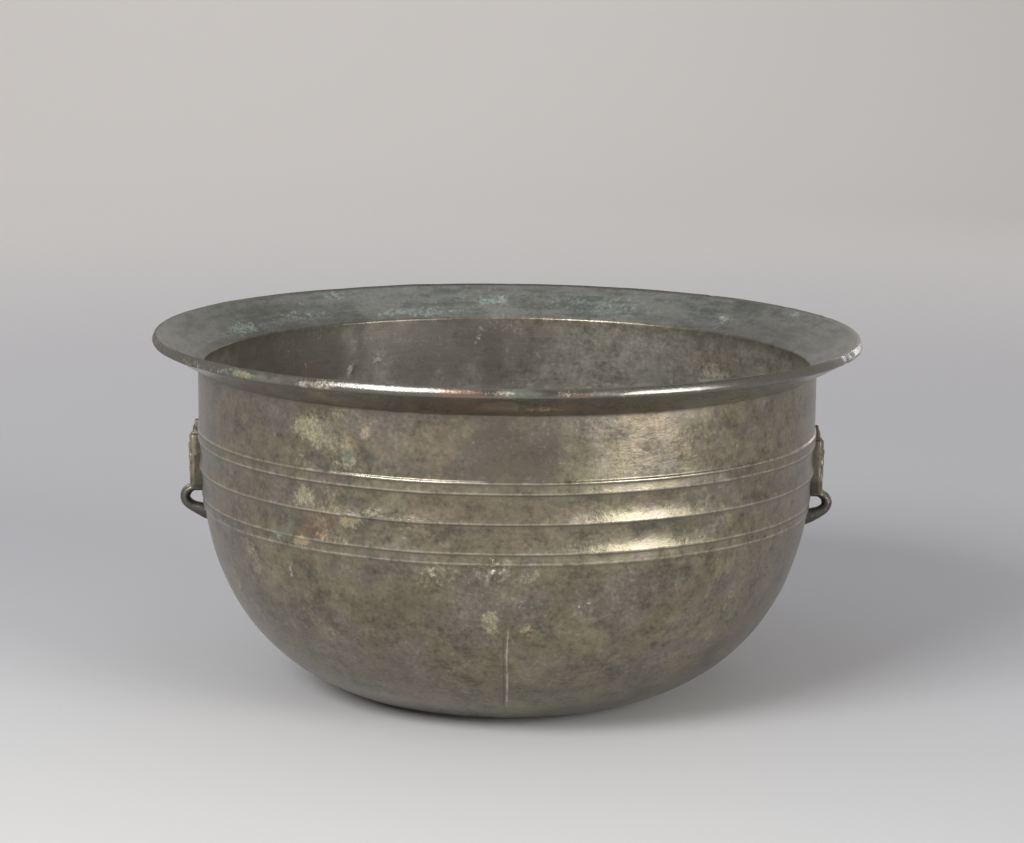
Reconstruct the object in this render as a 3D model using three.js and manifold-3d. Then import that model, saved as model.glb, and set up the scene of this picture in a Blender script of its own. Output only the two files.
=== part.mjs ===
// A cast bronze basin: a thin-walled bowl under an upright belly, a wide everted lip,
// five raised lines round the belly, and two beast-mask handles, each with a fixed loop.
// Millimetres, +Z up, origin at the middle of the flat underside. Every outline of the
// vessel is a list of (radius, height) points, turned about the Z axis.

import * as THREE from 'three';
import { mergeVertices } from 'three/addons/utils/BufferGeometryUtils.js';
import Module from 'manifold-3d';

// Main sizes
const HEIGHT = 168; // underside to the top of the lip
const BELLY_RADIUS = 144.1; // outside of the upright wall
const BASE_RADIUS = 69; // the flat underside
const WALL = 2.5; // thickness of the casting

// The everted flange and its thickened lip
const FLANGE_REACH = 20.9; // how far the lip stands out beyond the belly
const FLANGE_RISE = 15.3; // from the outside of the neck up to the top of the lip
const NECK_LIFT = 0.4; // how much higher the neck's inner corner is than its outer one
const LIP_DEPTH = 4.7; // the lip's face, top to bottom
const LIP_BULGE = 1.6; // how far that face rounds outwards

// The raised lines: a pair, one by itself, and a second pair. Each is the lower edge of a
// band that flares outwards, with a step back in below it.
const TOP_LINE_DROP = 29.2; // from the neck down to the highest line
const PAIR_SPACING = 4.6;
const BAND_SPACING = 13.2;
const LINE_PROUD = 0.6; // a line's edge beyond the wall
const LINE_SUNK = 0.6; // the foot of its step inside the wall
const LINE_EDGE = 0.5; // height of the edge
const LINE_STEP = 0.7; // height of the step
const TOP_LINE_SHOULDER = 1.6; // height of the slope from the plain wall to the top line

// The bowl under the lines
const BELLY_TUCK = 2.6; // how far the wall has drawn in by the foot of the lines
const BELT_FOOT = 1.5; // from the lowest line down to the start of the bowl's curve
const SIDE_LEAN = 6.4; // the curve leaves the belly leaning in by this much...
const SIDE_PULL = 43.8; // ...over this height
const BASE_PULL = 41; // and comes to the base running in over this length...
const BASE_LIFT = 10.3; // ...as it falls by this much

// The mask handles
const CREST_ABOVE_LINE = 0.7; // the crest's tip above the highest line
const MASK_HEIGHT = 32.2; // crest tip to the foot of the snout
const MASK_HALF_WIDTH = 16.5;
const PLATE_PROUD = 3; // the mask's ground stands off the belly by this much
const CREST_PROUD = 2.4;
const RELIEF_PROUD = 5.2; // the highest forms: horns, brows, eyes and nose
const SNOUT_PROUD = 4;
const HORN_THICKNESS = 3.4;
const JOWL_THICKNESS = 2.8;
const EYE_RADIUS = 2.9;
const EYE_SIDE = 0.41; // its place as a share of the mask's half width...
const EYE_LEVEL = 0.49; // ...and of its height above the foot
const SEAT_GAP = 0.3; // between a handle's back and the wall

// The fixed loop under the snout, an upright ring of flattened bar
const LOOP_REACH = 4.6; // from the ring's centre out to the middle of the bar
const LOOP_RISE = 4.9; // and up or down to it
const LOOP_WIDTH = 6.5; // of the bar, along the wall
const LOOP_THICKNESS = 4.1;
const LOOP_STANDOFF = 2.5; // the ring's centre beyond the belly
const LOOP_SINK = 1.4; // how deep its top is let into the snout
const LOOP_TAIL_FALL = 1.4; // the lower end drops by this on its way to the wall

// Fineness of the facets
const ROUND_STEPS = 72;
const BOWL_STEPS = 8;
const LIP_STEPS = 6;
const OUTLINE_STEPS = 12;
const CURL_STEPS = 8;
const LOOP_STEPS = 12;
const CURL_SIDES = 6;
const LOOP_SIDES = 8;
const EYE_SIDES = 8;

// Heights and radii that follow from the sizes
const neckHeight = HEIGHT - FLANGE_RISE;
const topLineHeight = neckHeight - TOP_LINE_DROP;
const lineHeights = [topLineHeight];
for (const spacing of [PAIR_SPACING, BAND_SPACING, BAND_SPACING, PAIR_SPACING]) {
  lineHeights.push(lineHeights.at(-1) - spacing);
}
const beltFoot = lineHeights.at(-1) - BELT_FOOT;

const wasm = await Module();
wasm.setup();

// A closed geometry as a solid that can be joined and cut
function solid(geometry) {
  const bare = geometry.clone();
  bare.deleteAttribute('normal');
  bare.deleteAttribute('uv');
  const merged = mergeVertices(bare);
  return new wasm.Manifold(new wasm.Mesh({
    numProp: 3,
    vertProperties: new Float32Array(merged.attributes.position.array),
    triVerts: new Uint32Array(merged.index.array),
  }));
}

// A solid as a geometry that can be drawn
function drawn(body) {
  const mesh = body.getMesh();
  const geometry = new THREE.BufferGeometry();
  geometry.setAttribute('position', new THREE.BufferAttribute(mesh.vertProperties, 3));
  geometry.setIndex(new THREE.BufferAttribute(mesh.triVerts, 1));
  geometry.computeVertexNormals();
  return geometry;
}

// An outline of (radius, height) points that starts and ends on the axis, turned about Z
function turned(outline) {
  const geometry = new THREE.LatheGeometry(outline, ROUND_STEPS);
  return solid(geometry.rotateX(Math.PI / 2));
}

// An outline moved sideways by a distance, its corners mitred: positive moves it outwards
// when the outline runs from the base up the outside
function offsetOutline(outline, distance) {
  const normals = outline.slice(1).map((point, index) => {
    const along = point.clone().sub(outline[index]).normalize();
    return new THREE.Vector2(along.y, -along.x);
  });
  return outline.map((point, index) => {
    const before = normals[Math.max(index - 1, 0)];
    const after = normals[Math.min(index, normals.length - 1)];
    const mitre = before.clone().add(after).divideScalar(1 + before.dot(after));
    return point.clone().addScaledVector(mitre, distance);
  });
}

// The belly's plain radius at a height: upright, then drawn in more and more below the
// highest line
function bellyRadius(height) {
  const share = Math.max(topLineHeight - height, 0) / (topLineHeight - beltFoot);
  return BELLY_RADIUS - BELLY_TUCK * share ** 2;
}

// The bowl's outside from the edge of the base up to the foot of the lines
function bowlCurve() {
  const foot = new THREE.Vector2(bellyRadius(beltFoot), beltFoot);
  const curve = new THREE.CubicBezierCurve(
    new THREE.Vector2(BASE_RADIUS, 0),
    new THREE.Vector2(BASE_RADIUS + BASE_PULL, BASE_LIFT),
    new THREE.Vector2(foot.x - SIDE_LEAN, foot.y - SIDE_PULL),
    foot,
  );
  return curve.getPoints(BOWL_STEPS);
}

// The lines from the lowest up: each has the root of its step and the two corners of its
// edge, and a wide band below it gets one more point that makes its flare hollow
function lineOutline() {
  const points = [];
  const rising = [...lineHeights].reverse();
  rising.forEach((height, index) => {
    const edge = bellyRadius(height) + LINE_PROUD;
    if (index > 0) {
      const below = points.at(-1);
      const root = new THREE.Vector2(
        bellyRadius(height) - LINE_SUNK,
        height - LINE_EDGE / 2 - LINE_STEP,
      );
      if (root.y - below.y > PAIR_SPACING) {
        // A parabola that leaves the root upright, halfway down
        const flare = (below.x - root.x) / 4;
        points.push(new THREE.Vector2(root.x + flare, (root.y + below.y) / 2));
      }
      points.push(root);
    }
    points.push(new THREE.Vector2(edge, height - LINE_EDGE / 2));
    points.push(new THREE.Vector2(edge, height + LINE_EDGE / 2));
  });
  points.push(new THREE.Vector2(BELLY_RADIUS, topLineHeight + TOP_LINE_SHOULDER));
  return points;
}

// The lip's face from its lower edge to its top, half of an ellipse
function lipOutline() {
  const centre = new THREE.Vector2(BELLY_RADIUS + FLANGE_REACH - LIP_BULGE, HEIGHT - LIP_DEPTH / 2);
  return Array.from({ length: LIP_STEPS + 1 }, (_, step) => {
    const turn = Math.PI * (step / LIP_STEPS - 0.5);
    return new THREE.Vector2(
      centre.x + LIP_BULGE * Math.cos(turn),
      centre.y + LIP_DEPTH / 2 * Math.sin(turn),
    );
  });
}

// The vessel's outside, from the middle of the base to the neck
function outerOutline() {
  return [
    new THREE.Vector2(0, 0),
    ...bowlCurve(),
    ...lineOutline(),
    new THREE.Vector2(BELLY_RADIUS, neckHeight),
  ];
}

// The smooth inside, from the neck's corner down to the middle of the floor
function innerOutline() {
  const floor = new THREE.Vector2(0, WALL);
  const bowl = offsetOutline([new THREE.Vector2(0, 0), ...bowlCurve()], -WALL).slice(1).reverse();
  const belly = lineHeights
    .filter((height) => height > beltFoot + BELT_FOOT)
    .map((height) => new THREE.Vector2(bellyRadius(height) - WALL, height));
  const corner = new THREE.Vector2(BELLY_RADIUS - WALL, neckHeight + NECK_LIFT);
  return [corner, ...belly, ...bowl, floor];
}

function basin() {
  return turned([...outerOutline(), ...lipOutline(), ...innerOutline()]);
}

// The handles are laid out on the wall at +X. Across is measured along the wall, proud is
// the distance off the belly.
function onWall(across, height, proud) {
  const radius = BELLY_RADIUS + proud;
  const turn = across / BELLY_RADIUS;
  return new THREE.Vector3(radius * Math.cos(turn), radius * Math.sin(turn), height);
}

// A place on the mask: side runs from 0 in the middle to 1 at its edge, rise from 0 at its
// foot to 1 at the crest's tip
const maskFoot = topLineHeight + CREST_ABOVE_LINE - MASK_HEIGHT;
const maskAcross = (side) => side * MASK_HALF_WIDTH;
const maskHeight = (rise) => maskFoot + rise * MASK_HEIGHT;

// A round drum about the vessel's axis, which gives a form its curved front
function drum(radius) {
  const geometry = new THREE.CylinderGeometry(radius, radius, 2 * HEIGHT, ROUND_STEPS);
  return solid(geometry.rotateX(Math.PI / 2));
}

// A slab of the mask with the same outline on both sides of the middle, its front curved
// like the wall. The half outline runs from the top of the middle to its foot.
function slab(halfOutline, proud) {
  const half = new THREE.SplineCurve(
    halfOutline.map(([side, rise]) => new THREE.Vector2(maskAcross(side), maskHeight(rise))),
  ).getPoints(OUTLINE_STEPS);
  const mirrored = half.slice(1, -1).reverse().map((point) => new THREE.Vector2(-point.x, point.y));
  const depth = WALL + 2 * proud;
  const prism = new THREE.ExtrudeGeometry(new THREE.Shape([...half, ...mirrored].reverse()), {
    depth,
    bevelEnabled: false,
  });
  // The outline's x runs along the wall, its y up, and its depth outwards
  prism.applyMatrix4(new THREE.Matrix4().makeBasis(
    new THREE.Vector3(0, 1, 0),
    new THREE.Vector3(0, 0, 1),
    new THREE.Vector3(1, 0, 0),
  ));
  prism.translate(BELLY_RADIUS - WALL, 0, 0);
  return solid(prism).intersect(drum(BELLY_RADIUS + proud));
}

// A bar of oval section along a path
function bar(path, steps, width, thickness, sides) {
  const oval = new THREE.EllipseCurve(0, 0, width / 2, thickness / 2);
  const section = new THREE.Shape(oval.getPoints(sides).slice(0, -1));
  return solid(new THREE.ExtrudeGeometry(section, { extrudePath: path, steps, bevelEnabled: false }));
}

// A curled bar of relief whose top reaches a given height off the wall, on one side of the
// mask. The places along it are [side, rise].
function curl(places, thickness, proud, sign) {
  const centreProud = proud - thickness / 2;
  const path = new THREE.CatmullRomCurve3(places.map(([side, rise]) => (
    onWall(sign * maskAcross(side), maskHeight(rise), centreProud)
  )));
  return bar(path, CURL_STEPS, thickness, thickness, CURL_SIDES);
}

function eye(sign) {
  const ball = new THREE.SphereGeometry(EYE_RADIUS, EYE_SIDES, EYE_SIDES);
  const centre = onWall(
    sign * maskAcross(EYE_SIDE),
    maskHeight(EYE_LEVEL),
    RELIEF_PROUD - EYE_RADIUS,
  );
  return solid(ball.translate(centre.x, centre.y, centre.z));
}

// The loop: out of the snout, round a ring and in to the wall again, through its upper
// point, its far point and its lower point
function loop() {
  const centreHeight = maskFoot + LOOP_SINK - LOOP_THICKNESS / 2 - LOOP_RISE;
  const arc = Array.from({ length: 5 }, (_, step) => {
    const turn = Math.PI * (0.5 - step / 4);
    return onWall(
      0,
      centreHeight + LOOP_RISE * Math.sin(turn),
      LOOP_STANDOFF + LOOP_REACH * Math.cos(turn),
    );
  });
  const start = onWall(0, centreHeight + LOOP_RISE, -WALL);
  const end = onWall(0, centreHeight - LOOP_RISE - LOOP_TAIL_FALL, -2 * WALL);
  const path = new THREE.CatmullRomCurve3([start, ...arc, end], false, 'centripetal');
  return bar(path, LOOP_STEPS, LOOP_WIDTH, LOOP_THICKNESS, LOOP_SIDES);
}

// A beast's mask: horned plate, crest, nose and snout, with eyes, horns over the brows and
// curled jowls on both sides, and the loop below
function maskHandle() {
  const forms = [
    slab([[0, 0.83], [0.45, 0.8], [0.96, 0.86], [0.93, 0.62], [0.78, 0.45], [0.82, 0.27],
      [0.6, 0.1], [0.3, 0.02], [0, 0]], PLATE_PROUD),
    slab([[0, 1], [0.1, 0.92], [0.27, 0.8], [0.2, 0.66], [0, 0.6]], CREST_PROUD),
    slab([[0, 0.84], [0.17, 0.76], [0.1, 0.66], [0.1, 0.5], [0.22, 0.27], [0.2, 0.2], [0, 0.19]],
      RELIEF_PROUD),
    slab([[0, 0.26], [0.3, 0.2], [0.36, 0.08], [0.24, -0.03], [0, -0.05]], SNOUT_PROUD),
    loop(),
  ];
  for (const sign of [-1, 1]) {
    forms.push(
      curl([[0.1, 0.5], [0.28, 0.62], [0.56, 0.68], [0.84, 0.62], [0.93, 0.74], [0.74, 0.79]],
        HORN_THICKNESS, RELIEF_PROUD, sign),
      curl([[0.3, 0.12], [0.52, 0.13], [0.72, 0.25], [0.64, 0.36], [0.48, 0.32]],
        JOWL_THICKNESS, SNOUT_PROUD, sign),
      eye(sign),
    );
  }
  const mask = forms.reduce((whole, form) => whole.add(form));
  const seat = [...offsetOutline(outerOutline(), SEAT_GAP), new THREE.Vector2(0, neckHeight)];
  return mask.subtract(turned(seat));
}

const bronze = new THREE.MeshStandardMaterial({ color: 0x6e675a, roughness: 0.42, metalness: 0.85 });
const maskBronze = new THREE.MeshStandardMaterial({ color: 0x77705f, roughness: 0.5, metalness: 0.8 });

function named(name, geometry, material) {
  const mesh = new THREE.Mesh(geometry, material);
  mesh.name = name;
  return mesh;
}

const vessel = new THREE.Group();
vessel.add(named('basin', drawn(basin()), bronze));

// Both handles are one casting, and the left one is turned half round the vessel
const handleGeometry = drawn(maskHandle());
const rightHandle = named('handle_right', handleGeometry, maskBronze);
const leftHandle = named('handle_left', handleGeometry.clone(), maskBronze.clone());
leftHandle.rotation.z = Math.PI;
vessel.add(leftHandle, rightHandle);

export default vessel;
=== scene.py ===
"""Looks of an ancient cast bronze basin with two beast-mask handles, in a pale studio.

Lengths are in metres, in the frame's axes: +Z up, the seen front towards -Y, one handle
towards +X. An azimuth is in degrees round the vessel: 0 at the front, 90 at +X.
"""

import logging
import math
from dataclasses import dataclass, field
from enum import Enum
from typing import Any, Callable, Optional, Sequence, Union

import bpy
import numpy as np
from mathutils import Matrix, Vector


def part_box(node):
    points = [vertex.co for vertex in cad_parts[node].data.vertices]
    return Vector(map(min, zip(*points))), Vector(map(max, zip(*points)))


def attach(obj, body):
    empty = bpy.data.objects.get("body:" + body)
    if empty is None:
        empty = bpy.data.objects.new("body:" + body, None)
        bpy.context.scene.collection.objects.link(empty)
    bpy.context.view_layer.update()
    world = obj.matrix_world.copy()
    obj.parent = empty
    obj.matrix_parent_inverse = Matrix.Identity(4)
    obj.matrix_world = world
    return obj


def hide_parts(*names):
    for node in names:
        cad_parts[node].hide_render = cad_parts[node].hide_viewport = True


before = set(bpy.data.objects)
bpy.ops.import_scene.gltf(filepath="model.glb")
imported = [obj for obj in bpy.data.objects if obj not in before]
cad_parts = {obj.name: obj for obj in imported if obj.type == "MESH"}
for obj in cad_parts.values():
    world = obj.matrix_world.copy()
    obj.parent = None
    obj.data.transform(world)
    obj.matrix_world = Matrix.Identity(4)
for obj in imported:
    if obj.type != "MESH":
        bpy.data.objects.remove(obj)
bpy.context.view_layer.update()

MM = 0.001
PHOTO_WIDTH = 1024

log = logging.getLogger("basin")


# Numbers on whole arrays


def smooth(low: float, high: float, value: np.ndarray) -> np.ndarray:
    """Runs from 0 at low to 1 at high with a level start and end: 3t^2 - 2t^3."""
    t = np.clip((value - low) / (high - low), 0.0, 1.0)
    return t * t * (3.0 - 2.0 * t)


def hump(value: np.ndarray, width: float) -> np.ndarray:
    """A bell of height 1 about 0: e to the power of -(value / width)^2."""
    return np.exp(-((value / width) ** 2))


def wrapped(degrees: np.ndarray) -> np.ndarray:
    """The same angle between -180 and 180 degrees."""
    return (degrees + 180.0) % 360.0 - 180.0


def cubic(points: Sequence[Sequence[float]], count: int) -> np.ndarray:
    """Samples a cubic Bezier curve.

    Args:
        points: its four control points.
        count: how many samples, the ends among them.

    Returns:
        An array of count points: the sum of each control point times its Bernstein weight.
    """
    t = np.linspace(0.0, 1.0, count)[:, None]
    a, b, c, d = (np.array(point, float) for point in points)
    return (1 - t) ** 3 * a + 3 * (1 - t) ** 2 * t * b + 3 * (1 - t) * t**2 * c + t**3 * d


def catmull(points: Sequence[Sequence[float]], steps: int) -> np.ndarray:
    """Samples a smooth open curve through every point.

    Args:
        points: the points that the curve passes through.
        steps: samples for each stretch between two of them.

    Returns:
        The curve's points: on each stretch the Catmull-Rom cubic of its four neighbours.
    """
    knots = np.array(points, float)
    knots = np.vstack([2 * knots[0] - knots[1], knots, 2 * knots[-1] - knots[-2]])
    t = np.linspace(0.0, 1.0, steps, endpoint=False)[None, :, None]
    p0, p1, p2, p3 = (knots[k : len(knots) - 3 + k][:, None] for k in range(4))
    curve = 0.5 * (
        2 * p1 + (p2 - p0) * t + (2 * p0 - 5 * p1 + 4 * p2 - p3) * t**2
        + (3 * p1 - p0 - 3 * p2 + p3) * t**3
    )
    return np.vstack([curve.reshape(-1, knots.shape[1]), knots[-2]])


def spaced(line: np.ndarray, step: float) -> np.ndarray:
    """Points at equal distances along a line.

    Args:
        line: the line's points in order.
        step: the wished distance, rounded so that both ends are kept.

    Returns:
        The new points, found by interpolating each coordinate on the length so far.
    """
    reach = np.r_[0.0, np.cumsum(np.linalg.norm(np.diff(line, axis=0), axis=1))]
    count = max(2, round(reach[-1] / step) + 1)
    places = np.linspace(0.0, reach[-1], count)
    return np.stack([np.interp(places, reach, column) for column in line.T], axis=1)


def distance_to_line(points: np.ndarray, line: np.ndarray) -> tuple[np.ndarray, np.ndarray]:
    """Shortest distance from flat points to a polyline, and how far along it that is.

    Args:
        points: an array whose last axis is x and y.
        line: the polyline's points.

    Returns:
        The distance, and the share of the line's length passed at the nearest place.
    """
    best = np.full(points.shape[:-1], np.inf)
    along = np.zeros_like(best)
    lengths = np.linalg.norm(np.diff(line, axis=0), axis=1)
    passed = np.r_[0.0, np.cumsum(lengths)]
    for index, length in enumerate(lengths):
        start, step = line[index], line[index + 1] - line[index]
        t = np.clip(((points - start) @ step) / length**2, 0.0, 1.0)
        gap = np.linalg.norm(points - start - t[..., None] * step, axis=-1)
        along = np.where(gap < best, (passed[index] + t * length) / passed[-1], along)
        best = np.minimum(best, gap)
    return best, along


@dataclass(frozen=True)
class Noise:
    """Smooth random values in space, the same each run.

    A block of seeded random numbers repeats through space, and a point's value is blended
    from the eight corners of its cell, each share faded by 6t^5 - 15t^4 + 10t^3.
    """

    seed: int
    cells: int = 48

    def at(self, points: np.ndarray, size: float, octaves: int = 1) -> np.ndarray:
        """Values between about -1 and 1.

        Args:
            points: an array whose last axis is x, y and z.
            size: the width of one cell of the coarsest layer.
            octaves: layers, each half as wide and half as strong as the last.

        Returns:
            One value for each point.
        """
        table = np.random.default_rng(self.seed).uniform(-1.0, 1.0, (self.cells,) * 3)
        total = np.zeros(points.shape[:-1])
        weights = 0.0
        for octave in range(octaves):
            weight = 0.5**octave
            total += weight * self._layer(table, points * 2**octave / size + 7.31 * octave)
            weights += weight
        return total / weights

    def _layer(self, table: np.ndarray, places: np.ndarray) -> np.ndarray:
        """One layer: the faded blend of each place's eight corners."""
        cell = np.floor(places).astype(int)
        t = places - cell
        t = t**3 * (t * (t * 6.0 - 15.0) + 10.0)
        total = np.zeros(places.shape[:-1])
        for corner in np.ndindex(2, 2, 2):
            share = np.prod(np.where(np.array(corner) == 1, t, 1.0 - t), axis=-1)
            index = (cell + corner) % self.cells
            total += share * table[index[..., 0], index[..., 1], index[..., 2]]
        return total


# Meshes


@dataclass
class Shell:
    """A closed mesh from a grid of rows that runs between two poles.

    Each row goes once round, and the first and the last row each close in one point.
    """

    rows: np.ndarray
    first_pole: np.ndarray
    last_pole: np.ndarray

    def arrays(self) -> tuple[np.ndarray, list[np.ndarray]]:
        """Vertices and faces.

        Returns:
            The vertices, the grid's first and the two poles after them, and a list of face
            arrays: the grid's quads, then each pole's fan of triangles.
        """
        count, around = self.rows.shape[:2]
        ring = np.arange(around)
        after = (ring + 1) % around
        start = (np.arange(count - 1) * around)[:, None]
        quads = np.stack(
            [start + ring, start + after, start + around + after, start + around + ring], axis=-1
        ).reshape(-1, 4)
        top = (count - 1) * around
        first = np.stack([np.full(around, count * around), after, ring], axis=-1)
        last = np.stack([np.full(around, count * around + 1), top + ring, top + after], axis=-1)
        vertices = np.vstack([self.rows.reshape(-1, 3), self.first_pole, self.last_pole])
        return vertices, [quads, first, last]


def outward(vertices: np.ndarray, faces: list[np.ndarray]) -> list[np.ndarray]:
    """Turns all faces round if the closed mesh they make is inside out.

    Args:
        vertices: the mesh's points.
        faces: arrays of faces, each with one number of corners.

    Returns:
        The same faces, reversed if the signed volume of their fans of tetrahedra, the sum
        of a . (b x c) / 6, is negative.
    """
    volume = 0.0
    for block in faces:
        for corner in range(1, block.shape[1] - 1):
            a, b, c = vertices[block[:, 0]], vertices[block[:, corner]], vertices[block[:, corner + 1]]
            volume += float(np.einsum("ij,ij->", a, np.cross(b, c))) / 6.0
    return [block[:, ::-1] for block in faces] if volume < 0 else faces


def mesh_object(name: str, vertices: np.ndarray, faces: list[np.ndarray]) -> bpy.types.Object:
    """Makes a smooth-shaded mesh object at the origin.

    Args:
        name: the object's name.
        vertices: the points, in the frame's axes.
        faces: arrays of faces, each with one number of corners.

    Returns:
        The new object, linked to the scene.
    """
    mesh = bpy.data.meshes.new(name)
    mesh.from_pydata(vertices.tolist(), [], [face for block in faces for face in block.tolist()])
    mesh.polygons.foreach_set("use_smooth", np.ones(len(mesh.polygons), bool))
    mesh.update()
    piece = bpy.data.objects.new(name, mesh)
    bpy.context.scene.collection.objects.link(piece)
    return piece


def store(piece: bpy.types.Object, name: str, values: np.ndarray) -> None:
    """Keeps one number for each vertex under a name that a finish can read."""
    layer = piece.data.attributes.new(name, "FLOAT", "POINT")
    layer.data.foreach_set("value", np.asarray(values, np.float32).ravel())


# Finishes


Colour = tuple[float, float, float]
Value = Union["Shade", float, Sequence[float]]


class Shade:
    """A shader socket that takes part in Python sums, each of which adds a Math node."""

    def __init__(self, sheet: "NodeSheet", socket: bpy.types.NodeSocket) -> None:
        self.sheet = sheet
        self.socket = socket

    def _sum(self, operation: str, first: Value, second: Value) -> "Shade":
        """A Math node on two values."""
        settings = {"operation": operation}
        return self.sheet.node("Math", settings, {"Value": first, "Value_001": second})

    def __add__(self, other: Value) -> "Shade":
        """self + other"""
        return self._sum("ADD", self, other)

    def __radd__(self, other: Value) -> "Shade":
        """other + self"""
        return self._sum("ADD", other, self)

    def __sub__(self, other: Value) -> "Shade":
        """self - other"""
        return self._sum("SUBTRACT", self, other)

    def __rsub__(self, other: Value) -> "Shade":
        """other - self"""
        return self._sum("SUBTRACT", other, self)

    def __mul__(self, other: Value) -> "Shade":
        """self * other"""
        return self._sum("MULTIPLY", self, other)

    def __rmul__(self, other: Value) -> "Shade":
        """other * self"""
        return self._sum("MULTIPLY", other, self)

    def __pow__(self, other: Value) -> "Shade":
        """self ** other"""
        return self._sum("POWER", self, other)

    def clamped(self) -> "Shade":
        """The value held between 0 and 1."""
        return self.sheet.node("Clamp", {}, {"Value": self})

    def band(self, low: float, high: float) -> "Shade":
        """0 below low and 1 above high, smooth between; low may be the greater."""
        ends = {"From Min": low, "From Max": high, "To Min": 0.0, "To Max": 1.0}
        settings = {"interpolation_type": "SMOOTHSTEP"}
        return self.sheet.node("MapRange", settings, {"Value": self, **ends})


class NodeSheet:
    """The nodes of one material, with short ways to make those that a patina needs."""

    def __init__(self, name: str) -> None:
        self.material = bpy.data.materials.new(name)
        self.material.use_nodes = True
        self.tree = self.material.node_tree
        self.tree.nodes.clear()
        self.place = self.node("TexCoord", {}, {}, "Object")

    def node(self, kind: str, settings: dict[str, Any], inputs: dict[str, Value],
             output: Optional[str] = None) -> Shade:
        """Adds a node.

        Args:
            kind: the node's type after ShaderNode, such as Math or TexNoise.
            settings: its properties, set before its sockets.
            inputs: a value or a Shade for each socket, by the socket's identifier.
            output: the identifier of the socket to hand back, or the first one.

        Returns:
            The output socket as a Shade.
        """
        made = self.tree.nodes.new("ShaderNode" + kind)
        for key, setting in settings.items():
            setattr(made, key, setting)
        sockets = {socket.identifier: socket for socket in made.inputs}
        for key, value in inputs.items():
            if isinstance(value, Shade):
                self.tree.links.new(value.socket, sockets[key])
            else:
                sockets[key].default_value = value
        outputs = {socket.identifier: socket for socket in made.outputs}
        return Shade(self, outputs[output] if output else made.outputs[0])

    def measure(self, name: str) -> Shade:
        """The number that the mesh keeps under this name."""
        return self.node("Attribute", {"attribute_name": name}, {}, "Fac")

    def scaled(self, stretch: Sequence[float], shift: Sequence[float] = (0, 0, 0)) -> Shade:
        """Object coordinates times a stretch for each axis, moved by a shift."""
        return self.node("Mapping", {}, {"Vector": self.place, "Scale": stretch, "Location": shift})

    def cloud(self, size: float, detail: float = 3.0, rough: float = 0.55,
              stretch: Sequence[float] = (1, 1, 1), shift: float = 0.0,
              distortion: float = 0.0) -> Shade:
        """Noise between 0 and 1.

        Args:
            size: the width of its blots in metres.
            detail: how many finer layers are added.
            rough: how strong each finer layer is against the last.
            stretch: how much finer than size it is along each axis.
            shift: moves it, so that two clouds of one size differ.
            distortion: how far its blots are pulled into wisps.

        Returns:
            The noise as a Shade.
        """
        settings = {"noise_dimensions": "3D", "normalize": True}
        return self.node("TexNoise", settings, {
            "Vector": self.scaled(stretch, (shift, shift * 0.7, -shift)), "Scale": 1.0 / size,
            "Detail": detail, "Roughness": rough, "Distortion": distortion,
        }, "Fac")

    def specks(self, size: float, radius: float, share: float, shift: float = 0.0) -> Shade:
        """Scattered soft dots.

        Args:
            size: the width of the cells, each of which may hold one dot.
            radius: a dot's radius as a share of the cell.
            share: how many of the cells hold one.
            shift: moves the pattern.

        Returns:
            1 in the middle of a dot and 0 away from them.
        """
        settings = {"voronoi_dimensions": "3D", "feature": "F1"}
        inputs = {
            "Vector": self.scaled((1, 1, 1), (shift, -shift, shift)), "Scale": 1.0 / size,
            "Randomness": 1.0,
        }
        near = self.node("TexVoronoi", settings, inputs, "Distance")
        cell = self.node("TexVoronoi", settings, inputs, "Color")
        chance = self.node("SeparateColor", {}, {"Color": cell}, "Red")
        return near.band(radius, radius * 0.45) * chance.band(share + 0.01, share - 0.01)

    def mix(self, factor: Value, below: Value, above: Value, blend: str = "MIX") -> Shade:
        """Lays one colour over another.

        Args:
            factor: 0 leaves the lower colour and 1 gives the upper one.
            below: the lower colour.
            above: the upper colour.
            blend: the Mix node's blend type.

        Returns:
            The mixed colour.
        """
        settings = {"data_type": "RGBA", "blend_type": blend, "clamp_factor": True}
        colours = {
            key: (colour if isinstance(colour, Shade) else (*colour, 1.0))
            for key, colour in (("A_Color", below), ("B_Color", above))
        }
        return self.node("Mix", settings, {"Factor_Float": factor, **colours}, "Result_Color")

    def toned(self, colour: Shade, tone: Shade) -> Shade:
        """A colour times a number."""
        grey = self.node("CombineColor", {}, {"Red": tone, "Green": tone, "Blue": tone})
        return self.mix(1.0, colour, grey, "MULTIPLY")

    def plain(self, colour: Colour) -> Shade:
        """One colour as a Shade, to be toned before it is laid on."""
        return self.mix(0.0, colour, colour)

    def bump(self, height: Shade, depth: float) -> Shade:
        """Fine relief for the shader's normal, height being a share of depth in metres."""
        inputs = {"Strength": 1.0, "Distance": depth, "Height": height}
        return self.node("Bump", {}, inputs, "Normal")

    def surface(self, **inputs: Value) -> bpy.types.Material:
        """Joins a Principled shader to the output.

        Args:
            **inputs: its sockets, with underscores for the spaces in their names.

        Returns:
            The finished material.
        """
        sockets: dict[str, Value] = {}
        for key, value in inputs.items():
            wide = isinstance(value, tuple) and len(value) == 3
            sockets[key.replace("_", " ")] = (*value, 1.0) if wide else value
        shader = self.node("BsdfPrincipled", {}, sockets, "BSDF")
        self.node_output(shader)
        return self.material

    def node_output(self, shader: Shade) -> None:
        """Joins a shader to the material's output."""
        output = self.tree.nodes.new("ShaderNodeOutputMaterial")
        self.tree.links.new(shader.socket, output.inputs["Surface"])


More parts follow.
